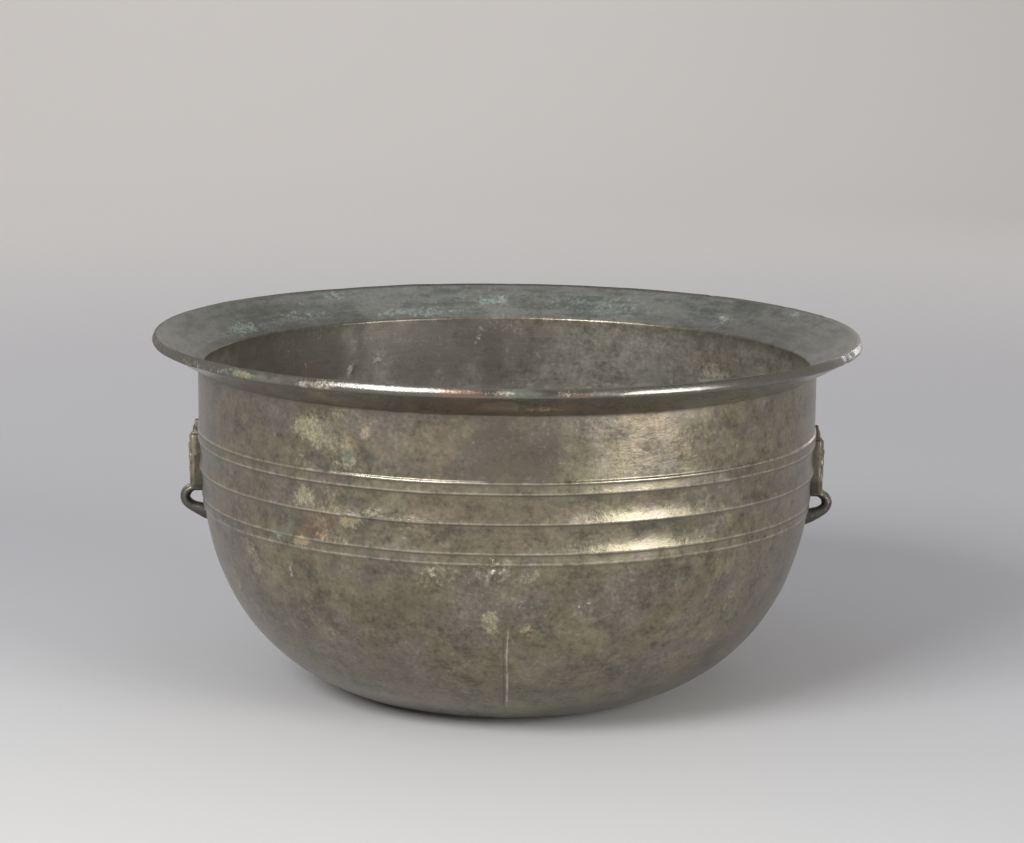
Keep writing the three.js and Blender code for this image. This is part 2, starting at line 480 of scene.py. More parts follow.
@dataclass(frozen=True)
class VesselPatina:
    """The vessel's aged bronze: brown-grey metal under films, dirt, corrosion, painted shade and painted
    highlights.

    The colours are linear. Each film is laid on by a measure kept in the mesh, broken up by
    noise, so that its edge is ragged at every scale.
    """

    warm: Colour = (0.216, 0.180, 0.126)
    olive: Colour = (0.202, 0.185, 0.121)
    mauve: Colour = (0.180, 0.155, 0.125)
    slate: Colour = (0.130, 0.121, 0.096)
    umber: Colour = (0.068, 0.061, 0.050)
    sheen: Colour = (0.400, 0.360, 0.285)
    # Worn metal on the crests of the lines, the seam and the flaw, and also a painted highlight on the flange's
    # inner corner and on the flaw
    polished: Colour = (0.58, 0.52, 0.42)
    # Dark pits, and also the painted shade under the lines, at the neck and beside the seam
    dirt_and_shade: Colour = (0.050, 0.042, 0.033)
    stain: Colour = (0.235, 0.218, 0.128)
    flange_grey: Colour = (0.205, 0.215, 0.202)
    flange_dark: Colour = (0.105, 0.122, 0.116)
    inner_film: Colour = (0.208, 0.198, 0.170)
    lip_film: Colour = (0.110, 0.106, 0.096)
    crust_pale: Colour = (0.310, 0.292, 0.172)
    crust_deep: Colour = (0.165, 0.150, 0.095)
    ochre: Colour = (0.330, 0.250, 0.140)
    cuprite: Colour = (0.210, 0.122, 0.086)
    green: Colour = (0.120, 0.140, 0.098)
    turquoise: Colour = (0.200, 0.285, 0.245)
    bone: Colour = (0.430, 0.405, 0.325)

    def material(self) -> bpy.types.Material:
        """Builds the finish.

        Returns:
            The material, which reads the measures that Vessel stores in its mesh.
        """
        sheet = NodeSheet("vessel_bronze_patina")
        measure = {
            name: sheet.measure(name)
            for name in ("inside", "flange", "lip", "crest", "shade_lines", *(b.value for b in Bloom))
        }
        broad = sheet.cloud(0.050, 6.0, 0.60)
        drift = sheet.cloud(0.028, 7.0, 0.62, shift=3.1)
        smear = sheet.cloud(0.020, 7.0, 0.64, stretch=(0.7, 0.7, 1.5), shift=6.4)
        blot = sheet.cloud(0.0070, 5.0, 0.66, shift=1.7)
        streak = sheet.cloud(0.0100, 4.0, 0.62, stretch=(0.5, 0.5, 4.5), shift=5.3)
        fine = sheet.cloud(0.0019, 3.0, 0.68, shift=2.2)
        grain = sheet.cloud(0.00065, 2.0, 0.6, shift=8.8)
        outer = 1.0 - (measure["inside"] + measure["flange"] + measure["lip"]).clamped()
        mottle = (blot - 0.5) * 1.5 + (fine - 0.5) * 1.0

        # The metal: tones that drift into each other, mottled and finely grained
        colour = sheet.mix((broad + mottle * 0.10).band(0.42, 0.58), self.warm, self.olive)
        colour = sheet.mix((drift + mottle * 0.10).band(0.47, 0.60), colour, self.mauve)
        colour = sheet.mix((smear + mottle * 0.12).band(0.50, 0.34) * 0.75, colour, self.slate)
        inner = sheet.toned(sheet.plain(self.inner_film), 1.0 + (streak - 0.5) * 0.5)
        colour = sheet.mix(measure["inside"] * 0.80, colour, inner)
        tone = 1.0 + (blot - 0.5) * 1.4 + (drift - 0.5) * 0.9 + (streak - 0.5) * 0.25 + (fine - 0.5) * 0.8
        colour = sheet.toned(colour, tone)
        stained = (broad * 0.5 + smear * 0.5 + mottle * 0.10).band(0.52, 0.64)
        colour = sheet.mix(stained * outer * 0.45, colour, self.stain)

        # The flange's cool film and the lip's dark one
        cool = sheet.mix((streak * 0.5 + drift * 0.5 + mottle * 0.12).band(0.40, 0.58),
                         self.flange_dark, self.flange_grey)
        colour = sheet.mix((measure["flange"] * (0.80 + mottle * 0.5)).clamped(), colour, cool)
        colour = sheet.mix((measure["lip"] * (0.80 + mottle * 0.8)).clamped(), colour, self.lip_film)
        oxide = (measure[Bloom.UMBER.value] * (0.7 + mottle * 0.8)
                 + (blot * 0.5 + drift * 0.5).band(0.44, 0.33) * 0.3).clamped()
        colour = sheet.mix(oxide * 0.92, colour, self.umber)
        dull = oxide * measure["lip"]

        # Pale grains in clusters, dark pits, wear on what stands out with a painted highlight on the flange's
        # far inner corner, and painted shade in what lies deep
        cluster = (drift * 0.4 + blot * 0.6 + measure[Bloom.CRUST.value] * 0.2).band(0.46, 0.62)
        grains = (fine * 0.7 + grain * 0.3).band(0.54, 0.64) * (0.12 + cluster * 0.6)
        colour = sheet.mix(grains * 0.60, colour, self.sheen)
        holes = (fine * 0.7 + grain * 0.3).band(0.44, 0.34)
        colour = sheet.mix(holes * 0.34, colour, self.dirt_and_shade)
        # Wear on the crests of the lines, the seam and the flaw; on the flange's far inner corner it is a
        # painted highlight
        wear = (measure["crest"] * (0.60 + mottle * 1.2) * (1.0 - dull * 0.7)).clamped()
        colour = sheet.mix(wear * 0.72, colour, self.polished)
        # Painted shade: the dark colour under each line's step, under the flange at the neck and beside the
        # seam's fin
        painted_shade = (measure["shade_lines"] * (0.75 + mottle * 0.8)).clamped()
        colour = sheet.mix(painted_shade * 0.75, colour, self.dirt_and_shade)

        # Corrosion, softest first
        soft = mottle * 0.42
        grainy = (fine - 0.5) * 2.4 + (grain - 0.5) * 0.8
        cover = {
            bloom: (measure[bloom.value] * 1.1 + spread).band(0.28, 1.0)
            * measure[bloom.value].band(0.02, 0.30)
            for bloom, spread in (
                (Bloom.GREEN, soft), (Bloom.CUPRITE, soft), (Bloom.CRUST, soft + grainy * 0.35),
                (Bloom.OCHRE, soft + grainy * 0.7), (Bloom.TURQUOISE, soft + grainy),
                (Bloom.BONE, soft + grainy * 0.8),
            )
        }
        pale = sheet.mix((fine * 0.6 + grain * 0.4).band(0.40, 0.62), self.crust_deep, self.crust_pale)
        colour = sheet.mix(cover[Bloom.GREEN] * 0.65, colour, self.green)
        colour = sheet.mix(cover[Bloom.CUPRITE] * 0.65, colour, self.cuprite)
        colour = sheet.mix(cover[Bloom.CRUST] * 0.75, colour, pale)
        colour = sheet.mix(cover[Bloom.OCHRE] * 0.55, colour, self.ochre)
        colour = sheet.mix(cover[Bloom.TURQUOISE] * 0.70, colour, self.turquoise)
        colour = sheet.mix(cover[Bloom.BONE] * 0.75, colour, self.bone)

        matt = (cover[Bloom.CRUST] + cover[Bloom.OCHRE] + cover[Bloom.TURQUOISE]
                + cover[Bloom.BONE] + painted_shade * 0.7 + cover[Bloom.GREEN] * 0.5
                + stained * outer * 0.3).clamped()
        skin = (matt + measure["flange"] * 0.30 + measure["inside"] * 0.55 + oxide * 0.4
                + measure["lip"] * 0.15 + dull * 0.4).clamped()
        roughness = (0.33 + mottle * 0.14 + (drift - 0.5) * 0.25 + matt * 0.30 + holes * 0.12
                     + measure["flange"] * 0.08 + measure["inside"] * 0.16
                     - wear * 0.08 - measure["lip"] * 0.14 + dull * 0.35).clamped()
        scab = (measure[Bloom.CRUST.value] + measure[Bloom.OCHRE.value]
                + measure[Bloom.TURQUOISE.value] + measure[Bloom.BONE.value]).clamped()
        height = (grain * (0.24 + scab * 0.40) + fine * (0.45 + scab * 1.3) + blot * 0.7
                  + streak * 0.18 + drift * 1.5)
        relief = sheet.bump(height, 0.00020)
        return sheet.surface(
            Base_Color=colour, Metallic=(0.86 - skin * 0.62).clamped(), Roughness=roughness,
            IOR=1.5, Coat_Roughness=0.26, Normal=relief,
            Coat_Weight=((0.30 + measure["lip"] * (1.0 - matt) * 0.40) * (1.0 - dull)).clamped(),
        )


@dataclass(frozen=True)
class MaskPatina:
    """The handles' duller bronze: olive film, green in the hollows, worn relief and painted shade along the
    rim.
    """

    olive: Colour = (0.245, 0.220, 0.140)
    brown: Colour = (0.160, 0.132, 0.100)
    plum_rim_shade: Colour = (0.080, 0.062, 0.065)
    steel: Colour = (0.090, 0.088, 0.080)
    polished: Colour = (0.42, 0.38, 0.28)
    dirt_and_shade: Colour = (0.055, 0.050, 0.038)
    green: Colour = (0.180, 0.235, 0.175)
    cuprite: Colour = (0.120, 0.078, 0.062)

    def material(self) -> bpy.types.Material:
        """Builds the finish.

        Returns:
            The material, which reads the measures that MaskHandle stores in its mesh.
        """
        sheet = NodeSheet("mask_bronze_patina")
        relief, edge, ring = sheet.measure("relief"), sheet.measure("edge"), sheet.measure("loop")
        blot = sheet.cloud(0.0055, 5.0, 0.66, shift=1.1, distortion=0.5)
        fine = sheet.cloud(0.0013, 3.0, 0.62, shift=2.9)
        grain = sheet.cloud(0.0005, 2.0, 0.6, shift=4.1)
        colour = sheet.mix(blot.band(0.36, 0.60), self.brown, self.olive)
        colour = sheet.toned(colour, 0.55 + fine * 0.5 + blot * 0.4)
        colour = sheet.mix((sheet.measure("red") * (0.3 + blot)).clamped() * 0.85, colour, self.cuprite)
        colour = sheet.mix((ring * (0.30 + blot * 0.9)).clamped(), colour, self.steel)
        # Painted shade: a dark plum band along the mask's rim
        colour = sheet.mix((edge * (0.2 + blot)).clamped() * 0.7, colour, self.plum_rim_shade)
        hollow = (relief.band(-0.02, -0.60) * (0.5 + blot * 0.7)).clamped()
        colour = sheet.mix(hollow * 0.85, colour, self.dirt_and_shade)
        verdigris = (hollow * 0.8 + 0.2) * (blot + fine * 0.3).band(0.60, 0.78)
        colour = sheet.mix(verdigris, colour, self.green)
        wear = (relief.band(0.05, 0.60) * (0.25 + blot) * (1.0 - sheet.measure("red") * 0.75)).clamped()
        colour = sheet.mix(wear * 0.75, colour, self.polished)
        colour = sheet.mix(fine.band(0.40, 0.28) * 0.4, colour, self.dirt_and_shade)
        normal = sheet.bump((fine + blot * 0.8) * (1.0 + ring) + grain * 0.44, 0.00016)
        return sheet.surface(
            Base_Color=colour, Metallic=(0.80 - hollow * 0.6 - verdigris * 0.4).clamped(),
            Roughness=(0.42 + (blot - 0.5) * 0.2 + hollow * 0.30 - wear * 0.12).clamped(),
            IOR=1.5, Normal=normal,
        )


# The vessel


class Face(Enum):
    """The stretches of the vessel's outline, from the middle of the base to that of the floor."""

    BASE = 0
    BOWL = 1
    BELT = 2
    WALL = 3
    UNDER = 4
    LIP = 5
    FLANGE = 6
    INNER = 7
    FLOOR = 8


class Side(Enum):
    """The surfaces that a patch of corrosion can lie on, each with its stretches."""

    OUTSIDE = (Face.BOWL, Face.BELT, Face.WALL)
    UNDER = (Face.UNDER,)
    LIP = (Face.LIP,)
    FLANGE = (Face.FLANGE,)
    INSIDE = (Face.INNER,)


class Bloom(Enum):
    """Kinds of patch on the metal. Each value names the measure that the finish reads."""

    UMBER = "umber"
    GREEN = "green"
    CUPRITE = "cuprite"
    CRUST = "crust"
    OCHRE = "ochre"
    TURQUOISE = "turquoise"
    BONE = "bone"


@dataclass(frozen=True)
class Patch:
    """A patch of one bloom: its middle as azimuth and height, and its half sizes in mm."""

    bloom: Bloom
    side: Side
    azimuth: float
    height: float
    across: float
    tall: float
    strength: float = 1.0


def seen_patches() -> list[Patch]:
    """The patches that the photograph shows, by the place of each on the vessel."""
    crust, ochre, green, cuprite = Bloom.CRUST, Bloom.OCHRE, Bloom.GREEN, Bloom.CUPRITE
    umber, turquoise, bone = Bloom.UMBER, Bloom.TURQUOISE, Bloom.BONE
    out, under, lip, flange, inside = Side.OUTSIDE, Side.UNDER, Side.LIP, Side.FLANGE, Side.INSIDE
    return [
        # The crusted stretch left of the middle, from the neck down to the lowest line
        Patch(crust, out, -31.0, 139.0, 17, 15, 0.42),
        Patch(crust, out, -33.0, 110.0, 12, 20, 0.36),
        Patch(crust, out, -36.0, 141.0, 8, 6, 1.0),
        Patch(crust, out, -33.5, 136.5, 9, 4, 0.6),
        Patch(crust, out, -30.0, 150.5, 8, 4, 0.6),
        Patch(crust, out, -25.0, 143.0, 6, 5, 0.75),
        Patch(crust, out, -28.5, 137.0, 5, 4, 0.65),
        Patch(crust, out, -28.5, 129.5, 12, 7, 0.50),
        Patch(crust, out, -37.0, 128.0, 8, 6, 0.35),
        Patch(crust, out, -36.5, 111.5, 7.5, 5, 1.05),
        Patch(crust, out, -27.0, 103.5, 7, 4, 0.75),
        Patch(crust, out, -34.0, 102.0, 6, 4, 0.5),
        Patch(crust, out, -31.0, 93.0, 9, 3.0, 0.6),
        Patch(crust, out, -24.0, 107.5, 7, 2.5, 0.55),
        Patch(crust, out, -16.0, 101.0, 16, 6, 0.30),
        Patch(ochre, out, -24.5, 143.5, 4.0, 4.0, 0.75),
        Patch(ochre, out, -27.6, 103.6, 4.5, 3.0, 0.8),
        Patch(ochre, out, -38.5, 90.8, 5.5, 2.2, 0.95),
        Patch(ochre, out, -33.0, 94.5, 5.0, 2.0, 0.6),
        Patch(cuprite, out, -27.5, 137.5, 7, 3.0, 0.75),
        Patch(cuprite, out, -34.0, 101.0, 9, 6, 0.75),
        Patch(cuprite, out, -35.0, 95.5, 9, 2.5, 0.8),
        Patch(cuprite, out, -27.0, 91.2, 7, 1.8, 0.8),
        Patch(green, out, -28.0, 131.0, 6, 5, 0.9),
        Patch(green, out, -32.0, 143.0, 4, 6, 0.6),
        Patch(green, out, -43.0, 93.0, 5, 3, 0.9),
        Patch(green, out, -40.5, 104.0, 4, 12, 0.55),
        Patch(green, out, -21.5, 104.5, 5, 6, 0.55),
        Patch(turquoise, out, -44.5, 91.3, 3.0, 1.4, 0.6),
        # Smears down the left side of the bowl
        Patch(crust, out, -53.0, 78.0, 5, 8, 0.55),
        Patch(crust, out, -64.5, 60.0, 6, 10, 0.50),
        Patch(crust, out, -57.0, 47.0, 9, 8, 0.45),
        Patch(green, out, -60.0, 66.0, 6, 8, 0.55),
        Patch(crust, out, -35.0, 50.0, 8, 6, 0.36),
        Patch(bone, out, -42.0, 76.5, 2.0, 6, 0.40),
        # About the seam and over the middle of the bowl
        Patch(bone, out, -2.6, 86.2, 8, 4, 0.16),
        Patch(umber, out, -6.5, 86.0, 3.5, 3, 0.8),
        Patch(umber, out, -1.0, 81.0, 3.5, 2.5, 0.7),
        Patch(crust, out, -2.2, 84.5, 11, 6, 0.42),
        Patch(crust, out, 4.0, 81.0, 7, 3, 0.42),
        Patch(crust, out, -2.2, 61.5, 4.5, 5.5, 0.95),
        Patch(ochre, out, 4.8, 57.4, 4.5, 3.0, 0.55),
        Patch(green, out, 1.0, 48.0, 9, 5, 0.35),
        Patch(crust, out, -11.5, 82.0, 9, 7, 0.42),
        Patch(bone, out, 13.5, 67.0, 1.3, 1.4, 0.75),
        Patch(bone, out, 15.5, 70.5, 1.0, 1.0, 0.7),
        Patch(bone, out, 3.0, 70.0, 1.0, 1.3, 0.6),
        Patch(bone, out, -12.5, 84.0, 1.8, 2.2, 0.75),
        Patch(umber, out, -20.0, 62.0, 20, 12, 0.35),
        Patch(umber, out, 8.0, 24.0, 30, 9, 0.30),
        Patch(umber, out, -28.0, 27.0, 28, 8, 0.40),
        Patch(umber, out, -48.0, 36.0, 12, 12, 0.30),
        Patch(umber, out, 0.0, 136.0, 28, 12, 0.95),
        Patch(umber, out, -74.0, 132.0, 36, 34, 0.35),
        Patch(umber, out, -14.0, 130.0, 12, 5, 0.45),
        Patch(umber, out, 0.0, 113.0, 24, 4, 0.35),
        Patch(umber, out, -47.0, 141.0, 12, 10, 0.30),
        Patch(green, out, 33.0, 24.0, 16, 9, 0.45),
        Patch(green, out, 45.0, 76.0, 9, 6, 0.35),
        Patch(bone, out, 40.0, 44.5, 2.5, 7, 0.35),
        Patch(bone, out, 47.0, 61.0, 2.0, 6, 0.40),
        Patch(cuprite, out, 25.5, 104.5, 8, 3.0, 0.5),
        Patch(cuprite, out, 8.0, 103.0, 7, 4.0, 0.35),
        # The neck and the underside of the flange
        Patch(green, under, -40.0, 157.0, 16, 4, 0.6),
        Patch(crust, under, -30.0, 158.0, 12, 6, 0.45),
        Patch(cuprite, under, -4.5, 158.5, 18, 10, 1.0),
        Patch(cuprite, under, 8.0, 158.0, 17, 9, 0.95),
        Patch(ochre, under, 3.0, 157.0, 26, 4, 0.42),
        Patch(green, under, -0.5, 159.0, 11, 6, 0.9),
        # The lip's face: crusted and dark at the left, red and green in the middle
        Patch(crust, lip, -43.5, 165.0, 8, 2.0, 0.75),
        Patch(turquoise, lip, -47.0, 165.5, 8, 2.0, 0.45),
        Patch(green, lip, -39.0, 164.0, 12, 3.0, 0.7),
        Patch(bone, lip, -27.5, 166.3, 6, 1.8, 0.62),
        Patch(bone, lip, -31.5, 165.0, 3, 1.5, 0.55),
        Patch(crust, lip, -29.0, 164.5, 8, 2.5, 0.6),
        Patch(bone, lip, -56.0, 164.0, 20, 3.0, 0.30),
        Patch(umber, lip, -80.0, 165.0, 116, 9, 1.4),
        # Painted shade: umber along the flange's inner corner on both far sides, on the flange and on the
        # inside
        Patch(umber, flange, -125.0, 154.0, 110, 3, 1.0),
        Patch(umber, inside, -125.0, 152.5, 110, 5, 1.0),
        Patch(umber, flange, 125.0, 154.0, 70, 3, 0.8),
        Patch(umber, inside, 125.0, 152.5, 70, 5, 0.8),
        Patch(umber, lip, -16.0, 164.0, 26, 3, 0.30),
        Patch(cuprite, lip, -6.0, 164.6, 15, 3.5, 1.15),
        Patch(cuprite, lip, 10.0, 164.5, 14, 3.0, 0.7),
        Patch(green, lip, 3.0, 166.0, 16, 2.5, 0.75),
        Patch(turquoise, lip, 8.5, 166.0, 6, 1.5, 0.35),
        Patch(bone, lip, -1.0, 165.2, 9, 2.0, 0.35),
        Patch(crust, lip, 17.0, 164.4, 8, 1.5, 0.45),
        Patch(umber, lip, 14.0, 165.5, 9, 2.5, 0.5),
        Patch(cuprite, lip, 45.0, 165.5, 16, 3, 0.4),
        # Specks of bright corrosion on the flange
        Patch(turquoise, flange, -146.0, 165.0, 6, 3.0, 0.55),
        Patch(turquoise, flange, -118.0, 157.0, 14, 4.0, 0.50),
        Patch(turquoise, flange, -134.0, 158.0, 20, 4.0, 0.40),
        Patch(turquoise, flange, -178.0, 160.8, 8, 4.0, 0.55),
        Patch(turquoise, flange, -160.0, 156.0, 30, 3.5, 0.42),
        Patch(turquoise, flange, 134.0, 158.8, 6, 3.0, 0.50),
        Patch(turquoise, flange, 118.0, 166.0, 9, 2.0, 0.62),
        Patch(turquoise, flange, 160.0, 160.0, 40, 8.0, 0.28),
        Patch(bone, flange, 134.5, 159.0, 3, 2.0, 0.55),
        Patch(bone, flange, -145.5, 165.2, 2.5, 1.5, 0.55),
        Patch(bone, flange, -178.5, 162.0, 2.5, 1.5, 0.5),
        Patch(umber, flange, -134.0, 160.0, 34, 7.0, 0.55),
        Patch(umber, flange, 122.0, 157.0, 30, 6.0, 0.50),
        Patch(umber, flange, 172.0, 165.5, 60, 2.5, 0.35),
        Patch(green, flange, 176.0, 158.0, 40, 6.0, 0.30),
        # The inside of the far wall
        Patch(bone, inside, -174.0, 141.0, 2.5, 1.6, 0.9),
        Patch(bone, inside, -145.5, 129.0, 2.5, 1.8, 0.9),
        Patch(bone, inside, -152.0, 133.0, 3.5, 2.0, 0.5),
        Patch(green, inside, -170.0, 136.0, 16, 8, 0.4),
        Patch(cuprite, inside, 133.0, 138.0, 22, 8, 0.5),
        Patch(green, inside, 122.0, 139.0, 16, 9, 0.5),
        # Umber on the inside of the far left wall: partly dark patina, partly painted shade on the side away
        # from the key light
        Patch(umber, inside, -130.0, 130.0, 60, 34, 1.25),
        Patch(umber, inside, 120.0, 146.0, 26, 8, 0.20),
        Patch(umber, inside, -168.0, 138.0, 56, 25, 1.05),
        Patch(crust, inside, -178.0, 148.0, 20, 3, 0.35),
    ]


def unseen_patches() -> list[Patch]:
    """Plainer patches for the sides that the photograph doesn't show, the same each run."""
    rng = np.random.default_rng(11)
    blooms = (Bloom.CRUST, Bloom.GREEN, Bloom.CUPRITE, Bloom.UMBER, Bloom.TURQUOISE, Bloom.BONE)
    sizes = {Bloom.UMBER: 20.0, Bloom.BONE: 2.5, Bloom.TURQUOISE: 4.0}
    patches = []
    for number in range(60):
        bloom = blooms[number % len(blooms)]
        size = sizes.get(bloom, 8.0) * rng.uniform(0.6, 1.4)
        turn, height = rng.uniform(75.0, 285.0), rng.uniform(14.0, 150.0)
        strength = rng.uniform(0.35, 0.75)
        patches.append(Patch(bloom, Side.OUTSIDE, turn, height, size, size * 0.7, strength))
    for number in range(36):
        bloom = blooms[number % len(blooms)]
        size = sizes.get(bloom, 9.0) * rng.uniform(0.6, 1.5)
        turn, height = rng.uniform(-180.0, 180.0), rng.uniform(6.0, 135.0)
        strength = rng.uniform(0.35, 0.7)
        patches.append(Patch(bloom, Side.INSIDE, turn, height, size, size * 0.6, strength))
    for number in range(22):
        bloom = (Bloom.TURQUOISE, Bloom.GREEN, Bloom.BONE)[number % 3]
        size = sizes.get(bloom, 7.0) * rng.uniform(0.6, 1.3)
        turn, height = rng.uniform(-110.0, 110.0), rng.uniform(155.0, 166.5)
        patches.append(Patch(bloom, Side.FLANGE, turn, height, size, size * 0.6, 0.6))
    return patches


@dataclass
class Vessel:
    """The cast vessel: a turned outline with the unevenness of a casting laid over it.

    The outline is a list of (radius, height) points. It runs from the middle of the base up
    the outside, over the lip and down the inside to the middle of the floor.
    """

    height: float
    lip_radius: float
    flange_reach: float = 20.9 * MM
    flange_rise: float = 15.3 * MM
    neck_lift: float = 0.4 * MM
    lip_depth: float = 4.7 * MM
    lip_bulge: float = 1.6 * MM
    lip_shares: tuple[tuple[float, float], ...] = (
        (0.0, -1.0), (0.56, -0.90), (0.93, -0.66), (1.0, -0.38), (0.92, -0.04), (0.72, 0.32),
        (0.45, 0.68), (0.20, 0.92), (0.0, 1.0),
    )
    base_radius: float = 69 * MM
    wall: float = 2.5 * MM
    top_line_drop: float = 29.2 * MM
    line_spacings: tuple[float, ...] = (4.6 * MM, 13.2 * MM, 13.2 * MM, 4.6 * MM)
    line_proud: float = 0.6 * MM
    line_edge: float = 0.5 * MM
    line_step: float = 0.7 * MM
    line_rounding: float = 0.22 * MM
    wide_band: tuple[tuple[float, float], ...] = (
        (0.0, 0.10), (0.25, -0.42), (0.5, -0.58), (0.75, -0.10), (1.0, 1.0),
    )
    narrow_band: tuple[tuple[float, float], ...] = ((0.0, 0.55), (1.0, 1.0))
    shoulder: float = 0.9 * MM
    belly_tuck: float = 2.6 * MM
    belt_foot_drop: float = 1.5 * MM
    side_lean: float = 6.4 * MM
    side_pull: float = 43.8 * MM
    base_pull: float = 41 * MM
    base_lift: float = 10.3 * MM
    neck_fillet: float = 1.0 * MM
    base_hollow: float = 0.35 * MM
    flaw_azimuth: float = -2.2
    flaw_height: float = 84.6 * MM
    columns: int = 420
    patches: list[Patch] = field(default_factory=lambda: seen_patches() + unseen_patches())

    def __post_init__(self) -> None:
        """Works out the heights and radii that follow from the sizes."""
        self.belly_radius = self.lip_radius - self.flange_reach
        self.neck = self.height - self.flange_rise
        drops = np.r_[self.top_line_drop, self.line_spacings]
        self.lines = self.neck - np.cumsum(drops)
        self.belt_foot = self.lines[-1] - self.belt_foot_drop

    def plain_radius(self, height: np.ndarray) -> np.ndarray:
        """The belly without its lines: upright, then in by the square of the way down."""
        share = np.maximum(self.lines[0] - height, 0.0) / (self.lines[0] - self.belt_foot)
        return self.belly_radius - self.belly_tuck * share**2

    def line_profile(self, height: np.ndarray) -> np.ndarray:
        """How far the lines stand off the plain belly.

        Each band is hollowed under the line above and flares to the crest of the line below,
        where it steps back in. All corners are rounded by a narrow bell.

        Args:
            height: heights of any shape.

        Returns:
            The offset at each height, zero above and below the lines.
        """
        proud, edge = self.line_proud, self.line_edge / 2
        knots = [(self.lines[0] + self.shoulder, 0.0)]
        for upper, lower in zip(self.lines, np.r_[self.lines[1:], np.nan]):
            knots += [(upper + edge, proud), (upper - edge, proud)]
            if np.isnan(lower):
                knots.append((self.belt_foot, 0.0))
                continue
            root, crest = upper - edge - self.line_step, lower + edge
            wide = upper - lower > min(self.line_spacings) + MM
            share, flare = catmull(self.wide_band if wide else self.narrow_band, 3)[:-1].T
            knots += list(zip(root + share * (crest - root), proud * flare))
        places, offsets = np.array(knots)[::-1].T
        step = 0.02 * MM
        fine = np.arange(self.belt_foot - 3 * MM, self.lines[0] + 5 * MM, step)
        raw = np.interp(fine, places, offsets, left=0.0, right=0.0)
        bell = hump(np.arange(-30, 31) * step, self.line_rounding * math.sqrt(2))
        return np.interp(height, fine, np.convolve(raw, bell / bell.sum(), mode="same"))

    def bowl_curve(self) -> np.ndarray:
        """The bowl's outside, a cubic from the edge of the base to the foot of the lines."""
        foot = (float(self.plain_radius(self.belt_foot)), self.belt_foot)
        return cubic([
            (self.base_radius, 0.0), (self.base_radius + self.base_pull, self.base_lift),
            (foot[0] - self.side_lean, foot[1] - self.side_pull), foot,
        ], 400)

    def bowl_rows(self) -> np.ndarray:
        """The bowl's rows: even from the base, then twice as close about the flaw."""
        fine = spaced(self.bowl_curve(), 0.95 * MM)
        near = np.abs(fine[:, 1] - self.flaw_height) < 7 * MM
        keep = near | (np.arange(len(fine)) % 2 == 0)
        keep[-1] = True
        return fine[keep]

    def belt_heights(self) -> np.ndarray:
        """Row heights over the lines: close together at each line, wider on the bands."""
        near = np.array([-1.2, -0.95, -0.72, -0.45, -0.25, 0.0, 0.25, 0.5, 0.8]) * MM
        heights = [self.lines[:, None] + near]
        for upper, lower in zip(self.lines[:-1], self.lines[1:]):
            top, foot = upper + near[0], lower + near[-1]
            count = max(2, round((top - foot) / (1.9 * MM)))
            heights.append(np.linspace(foot, top, count + 1)[1:-1])
        heights.append(self.lines[0] + np.array([1.1, 1.5, 2.2]) * MM)
        return np.sort(np.concatenate([h.ravel() for h in heights]))

    def outline(self) -> tuple[np.ndarray, np.ndarray]:
        """The whole outline, without its two poles.

        Returns:
            The points as (radius, height) and the Face number of each.
        """
        bowl = self.bowl_rows()
        belt_z = self.belt_heights()
        belt = np.stack([self.plain_radius(belt_z) + self.line_profile(belt_z), belt_z], axis=1)
        wall_z = np.linspace(belt_z[-1], self.neck - self.neck_fillet, 13)[1:]
        wall = np.stack([np.full(len(wall_z), self.belly_radius), wall_z], axis=1)
        lip_centre = np.array([self.lip_radius - self.lip_bulge, self.height - self.lip_depth / 2])
        neck = np.array([self.belly_radius, self.neck])
        lip_foot = lip_centre - (0.0, self.lip_depth / 2)
        slope = (lip_foot - neck) / np.linalg.norm(lip_foot - neck)
        start = neck + slope * self.neck_fillet
        fillet = cubic([wall[-1], neck, neck, start], 5)[1:]
        under = np.vstack([fillet, start + np.linspace(0, 1, 10)[1:, None] * (lip_foot - start)])
        lip = lip_centre + catmull(self.lip_shares, 2)[1:] * (self.lip_bulge, self.lip_depth / 2)
        corner = np.array([self.belly_radius - self.wall, self.neck + self.neck_lift])
        fall = (corner - lip[-1]) / np.linalg.norm(corner - lip[-1])
        before = corner - fall * self.neck_fillet
        after = corner - (0.0, self.neck_fillet)
        flange = lip[-1] + np.linspace(0, 1, 13)[1:, None] * (before - lip[-1])
        turned = cubic([before, corner, corner, after], 5)[1:]
        inner_z = np.linspace(after[1], self.belt_foot, 15)[1:]
        inner = np.stack([self.plain_radius(inner_z) - self.wall, inner_z], axis=1)
        bowl_inside = self.inset(self.bowl_curve(), self.wall)[::-1]
        bowl_inside = spaced(bowl_inside, 5.0 * MM)[1:]
        floor_r = bowl_inside[-1, 0] * np.array([0.85, 0.65, 0.42, 0.2])
        floor = np.stack([floor_r, np.full(4, self.wall)], axis=1)
        base_r = self.base_radius * np.array([0.2, 0.45, 0.68, 0.86, 0.96, 0.985])
        base = np.stack([base_r, np.zeros(6)], axis=1)
        runs = [
            (Face.BASE, base), (Face.BOWL, bowl), (Face.BELT, belt), (Face.WALL, wall),
            (Face.UNDER, under), (Face.LIP, lip), (Face.FLANGE, flange),
            (Face.INNER, np.vstack([turned, inner, bowl_inside])), (Face.FLOOR, floor),
        ]
        points = np.vstack([run for _, run in runs])
        faces = np.concatenate([np.full(len(run), face.value) for face, run in runs])
        return points, faces

    @staticmethod
    def inset(line: np.ndarray, depth: float) -> np.ndarray:
        """A line moved to its inner side by a depth, along the normal at each point."""
        along = np.gradient(line, axis=0)
        along /= np.linalg.norm(along, axis=1)[:, None]
        return line - depth * np.stack([along[:, 1], -along[:, 0]], axis=1)

